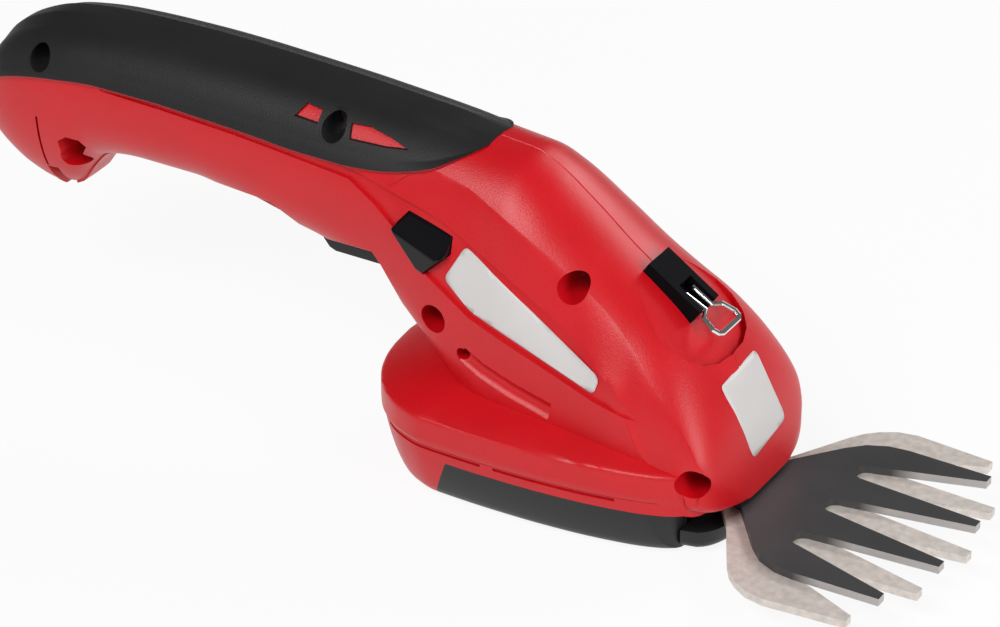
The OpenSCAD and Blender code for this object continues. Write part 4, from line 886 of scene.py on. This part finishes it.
def tub_solid(inset, over):
    """Base from the sole to the rim, let in by a distance and carried over the rim."""
    curves = [Curve([(t[0], t[k]) for t in TUB]) for k in (1, 2)]
    verts = []
    for z in TUB_LEVELS:
        half = tub_ring(z, curves[0](z), curves[1](z), inset)
        ring = [(x, -y, q) for x, y, q in half] + [(x, y, q) for x, y, q in reversed(half[1:-1])]
        if z == 1.0:
            ring = [(x, y, RIM_Z + over) for x, y, q in ring]
        verts += ring
    return new_object("tub", verts, skin(len(ring), len(TUB_LEVELS)))


def shoe_zone(front):
    rear = SHOE_Z * 0.42 - SHOE_REAR
    return prism([(-SHOE_REAR, -1), (front, -1), (front, SHOE_Z), (rear, SHOE_Z)], -POD_HALF, POD_HALF)


cover = tub_solid(0, 0)
nose_start = BAND_FRONT - 0.5
nose_line = [(x, low_at(x) - 0.03) for x in spread(nose_start, NOSE_END, 20)]
under_nose = prism(nose_line + [(NOSE_END, 20), (nose_start, 20)], -FAR, FAR)
carve(cover, [tub_solid(FLOOR_T, 1), shoe_zone(110), under_nose, box((NOSE_END, -FAR, -2), (110, FAR, 20))])
for side in (-1, 1):
    for a, b in RIM_SLITS:
        slit = [(x, side * (pod_y(x, 15.4) - 0.35), SLIT_Z) for x in spread(a, b, 40)]
        carve(cover, [tube(slit, SLIT_R, 8)])
cover.name = "base_cover"
smooth(cover, 35)
finish_piece(cover, "chassis", "red_plastic", "bottom_cover")
shoe = tub_solid(0, 0)
hollow = tub_solid(FLOOR_T, 1)
carve(hollow, [box((35, -60, -5), (70, -19, 40)), box((35, 19, -5), (70, 60, 40))])
carve(shoe, [hollow])
carve(shoe, [shoe_zone(SHOE_FRONT)], "INTERSECT")
bow = [(SHOE_FRONT + 0.1 - 5 * (max(abs(y) - 20, 0) / 9) ** 2, y) for y in spread(-36, 36, 72)]
carve(shoe, [plate(bow + [(-60, 36), (-60, -36)], -3, 30)], "INTERSECT")
shoe.name = "shoe_band"
smooth(shoe, 35)
finish_piece(shoe, "chassis", "black_plastic", "sole_shoe")

# Blade holder: heights with the distance that each ring is let in
HOLDER = [(0.4, 3.4), (0.7, 2.2), (1.3, 1.0), (2.2, 0.3), (3.2, 0), (5.95, 0)]
HOLDER_HALF, HOLDER_BOW, HOLDER_TOP, HOLDER_POINTS = 23, 9.5, 5.95, 49
TAIL_START, TAIL_HALF = 20.2, 12.6
BOLT_HEAD_Z, BOLT_HEAD_R = 3.25, 6.05


def holder_block():
    """Rounded block under the blades, with its tail in the shoe and a pocket for the pivot bolt's head."""
    verts = []
    for z, inset in HOLDER:
        for k in range(HOLDER_POINTS):
            t = 2 * k / (HOLDER_POINTS - 1) - 1
            reach = (HOLDER_BOW - inset * 0.7) * (1 - abs(t) ** 3.5) ** 0.45
            verts.append((SHOE_FRONT + 0.3 + reach, (HOLDER_HALF - inset) * t, z))
    obj = new_object("holder_block", verts, skin(HOLDER_POINTS, len(HOLDER)))
    tail = box((TAIL_START, -TAIL_HALF, FLOOR_T), (SHOE_FRONT + 0.6, TAIL_HALF, HOLDER_TOP))
    carve(obj, [tail], "UNION")
    pocket = rod((PIVOT_X, 0, BOLT_HEAD_Z), (PIVOT_X, 0, 7), BOLT_HEAD_R, 6)
    return smooth(carve(obj, [pocket]), 40)


finish_piece(holder_block(), "chassis", "black_plastic", "blade_holder")


# Bare plates where the photograph has stickers
PLATE_CORNER, CORNER_STEPS = 1.6, 6


def bare_plate(name, outline, cast, step=1.5, lift=0.12, thick=0.1):
    """Thin plate that follows the body inside an outline given in two coordinates."""
    pts, n = [], len(outline)
    for i in range(n):
        p, q, r = (Vector(outline[k % n]) for k in (i - 1, i, i + 1))
        a, b = (p - q).normalized(), (r - q).normalized()
        for t in range(CORNER_STEPS + 1):
            w = t / CORNER_STEPS
            pts.append(q + a * PLATE_CORNER * (1 - w) ** 2 + b * PLATE_CORNER * w**2)
    edges = [(i, (i + 1) % len(pts)) for i in range(len(pts))]
    lo = [min(p[k] for p in pts) for k in (0, 1)]
    hi = [max(p[k] for p in pts) for k in (0, 1)]
    extra = [Vector((lo[0] + step * i, lo[1] + step * j)) for i in range(int((hi[0] - lo[0]) / step) + 1)
             for j in range(int((hi[1] - lo[1]) / step) + 1)]
    flat, _, tris, _, _, _ = delaunay_2d_cdt(pts + extra, edges, [], 1, 1e-5)
    used = {v: k for k, v in enumerate(sorted({v for t in tris for v in t}))}
    verts = [cast(*flat[v]) for v in used]
    obj = new_object(name, [p + m * lift for p, m in verts], [tuple(used[v] for v in t) for t in tris], False)
    mod = obj.modifiers.new("thick", "SOLIDIFY")
    mod.thickness, mod.offset = thick * MM, 1
    obj.data.shade_smooth()
    return finish_piece(obj, "chassis", "bare_label")


def cast(side, place, way):
    """First point of a housing half along a line, tried again a little aside where a line slips through."""
    for k in range(24):
        off = Vector((math.cos(2.4 * k), math.sin(2.4 * k), math.sin(1.7 * k))) * 0.04 * k
        hit = trees[side].ray_cast(Vector(place) + off - way * way.dot(off), way)
        if hit[0] is not None and hit[1].dot(way) < 0:
            return hit[0], hit[1]


def cast_side(u, v):
    spot, normal = cast(-1, (u, -90, v), Vector((0, 1, 0)))
    return Vector((u, spot.y, v)), normal


def cast_nose(u, v):
    w = math.copysign(max(abs(u), 0.9), u)
    spot, normal = cast(-1 if w < 0 else 1, (120, w, v), Vector((-1, 0, 0)))
    return Vector((spot.x, u, v)), normal


bare_plate("plate_side", [(-21.3, 63.5), (18.6, 41.8), (17.6, 37.7), (-17.8, 48.9), (-25.8, 54.7)], cast_side)
bare_plate("plate_nose", [(8.4, 40.6), (10.2, 22.8), (-7.0, 20.8), (-9.8, 39.5)], cast_nose)


def rounded(obj, width, segments, angle):
    """Bevels the edges that are sharper than an angle."""
    mod = obj.modifiers.new("edge", "BEVEL")
    mod.width, mod.segments, mod.limit_method = width * MM, segments, "ANGLE"
    mod.angle_limit = math.radians(angle)


# Lock buttons: how far each corner of the outline stands out, the ridge and the flange
LOCK_OUT = [22.4, 18.4, 18.2, 22.5, 23.3, 23.0]
LOCK_RIDGE, LOCK_FLANGE = (0.36, 23.4, -0.09), 1.1


def lock_button(name, side):
    """Thumb button: a sloping upper face, later coloured darker as painted shade, meets a proud lower face
    along a ridge.
    """
    pts = [(LOCK_X + a * LOCK_LEN, LOCK_Z + b * LOCK_LEN) for a, b in LOCK]
    verts = [(x, side * LOCK_IN, z) for x, z in pts]
    verts += [(x, side * y, z) for (x, z), y in zip(pts, LOCK_OUT)]
    along, out, up = LOCK_RIDGE
    verts.append((LOCK_X + along * LOCK_LEN, side * out, LOCK_Z + up * LOCK_LEN))
    closed = skin(len(pts), 2)
    faces = closed[:1] + closed[2:] + [(6, 7, 8, 12), (12, 8, 9), (12, 9, 10), (6, 12, 10, 11)]
    n = len(verts)
    wide = grown(pts, LOCK_FLANGE)
    verts += [(x, side * y, z) for y in (LOCK_IN, LOCK_IN + WALL) for x, z in wide]
    faces += [tuple(n + v for v in face) for face in closed]
    obj = new_object(name, verts, faces)
    rounded(obj, 0.45, 3, 12)
    return smooth(obj, 40)


for side, word in ((-1, "right"), (1, "left")):
    thumb = lock_button("lock_%s_thumb" % word, side)
    finish_piece(thumb, "lock_" + word, "black_plastic", "lock_button_" + word)
    thumb.data.materials[0] = MATS["gloss_black"]
    thumb.data.materials.append(MATS["painted_shade_black"])
    # Faces of the button's outer part that look up take the darker, unreflecting black: painted shade under
    # the body's overhang
    for face in thumb.data.polygons:
        if face.normal.z > 0.2 and abs(face.center.y) > 18 * MM:
            face.material_index = 1
# The latch block takes the same darker black with almost no reflection: painted shade that keeps its top dark
frame["nodes"]["latch_block"].data.materials[0] = MATS["painted_shade_black"]


# Springs as coils of wire in the place of each spring part, where they press on a button or the trigger
def spring(name, node, axis, fixed, turns=5, wire=0.35, per_turn=16):
    lo, hi = (Vector(c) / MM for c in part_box(node))
    mid = (lo + hi) / 2
    a, b = (axis + 1) % 3, (axis + 2) % 3
    r, run = (hi[a] - lo[a]) / 2 - wire, hi[axis] - lo[axis]
    steps = turns * per_turn
    path = []
    for i in range(steps + 1):
        q = mid.copy()
        q[a] += r * math.cos(2 * math.pi * i / per_turn)
        q[b] += r * math.sin(2 * math.pi * i / per_turn)
        q[axis] = lo[axis] + wire + (run - 2 * wire) * i / steps
        path.append(q)
    obj = finish_piece(smooth(tube(path, wire, 8, name), 60), "chassis", "zinc_steel", node)
    end = mid.copy()
    end[axis] = fixed(lo[axis], hi[axis])
    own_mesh(obj)


spring("lock_coil_right", "lock_spring_right", 1, max)
spring("lock_coil_left", "lock_spring_left", 1, min)
spring("trigger_coil", "trigger_spring", 2, max)

# Rounded edges on the blades and small moulded pieces that stay as CAD
for name, width in (("lower_blade", 0.25), ("upper_blade", 0.25), ("trigger", 0.6), ("latch_block", 0.4)):
    rounded(frame["nodes"][name], width, 2, 35)


# World that is white to the camera and dim to the object
WORLD_LIGHT = 0.14
world = bpy.data.worlds.new("world")
bpy.context.scene.world = world
world.use_nodes = True
wt = world.node_tree
backdrop = wt.nodes["Background"]
backdrop.inputs["Color"].default_value = (1, 1, 1, 1)
seen = add_node(wt, "LightPath")
either = add_node(wt, "Math")
either.operation = "MAXIMUM"
link(wt, seen, "Is Camera Ray", either, 0)
link(wt, seen, "Is Transmission Ray", either, 1)
level = add_node(wt, "MapRange", {"To Min": WORLD_LIGHT, "To Max": 1.0})
link(wt, either, "Value", level, "Value")
link(wt, level, "Result", backdrop, "Strength")

# Floor that looks white and keeps the object's shadow
FLOOR_HALF, FLOOR_Z, FLOOR_GLOW = 4, -0.0005, 0.9
mesh = bpy.data.meshes.new("floor")
corners = [(-FLOOR_HALF, -FLOOR_HALF), (FLOOR_HALF, -FLOOR_HALF), (FLOOR_HALF, FLOOR_HALF),
           (-FLOOR_HALF, FLOOR_HALF)]
mesh.from_pydata([(x, y, FLOOR_Z) for x, y in corners], [], [(0, 1, 2, 3)])
floor = bpy.data.objects.new("floor", mesh)
bpy.context.scene.collection.objects.link(floor)
floor_mat = bpy.data.materials.new("floor")
floor_mat.use_nodes = True
ft = floor_mat.node_tree
matt = ft.nodes["Principled BSDF"]
matt.inputs["Base Color"].default_value = (0.9, 0.9, 0.9, 1)
matt.inputs["Roughness"].default_value = 0.9
glow = add_node(ft, "Emission")
seen = add_node(ft, "LightPath")
blend = add_node(ft, "MixShader")
weight = add_node(ft, "Math", {1: FLOOR_GLOW})
weight.operation = "MULTIPLY_ADD"
link(ft, seen, "Is Camera Ray", weight, 0)
link(ft, seen, "Is Glossy Ray", weight, 2)
link(ft, weight, "Value", blend, "Fac")
link(ft, matt, "BSDF", blend, 1)
link(ft, glow, "Emission", blend, 2)
link(ft, blend, "Shader", ft.nodes["Material Output"], "Surface")
floor.data.materials.append(floor_mat)


def lamp(name, place, aim, size, watts):
    data = bpy.data.lights.new(name, "AREA")
    data.shape, data.size, data.size_y = "RECTANGLE", size[0], size[1]
    data.energy = watts
    obj = bpy.data.objects.new(name, data)
    obj.location = place
    obj.rotation_mode = "QUATERNION"
    obj.rotation_quaternion = (Vector(aim) - Vector(place)).to_track_quat("-Z", "Y")
    bpy.context.scene.collection.objects.link(obj)


lamp("key", (-0.1, -0.8, 0.9), (-0.03, 0, 0.04), (0.7, 0.5), 9.5)
lamp("rim", (0.3, 0.8, 0.6), (-0.03, 0, 0.05), (0.5, 0.3), 3.6)
lamp("front", (0.9, -0.15, 0.35), (0.0, 0, 0.03), (0.4, 0.5), 4.0)
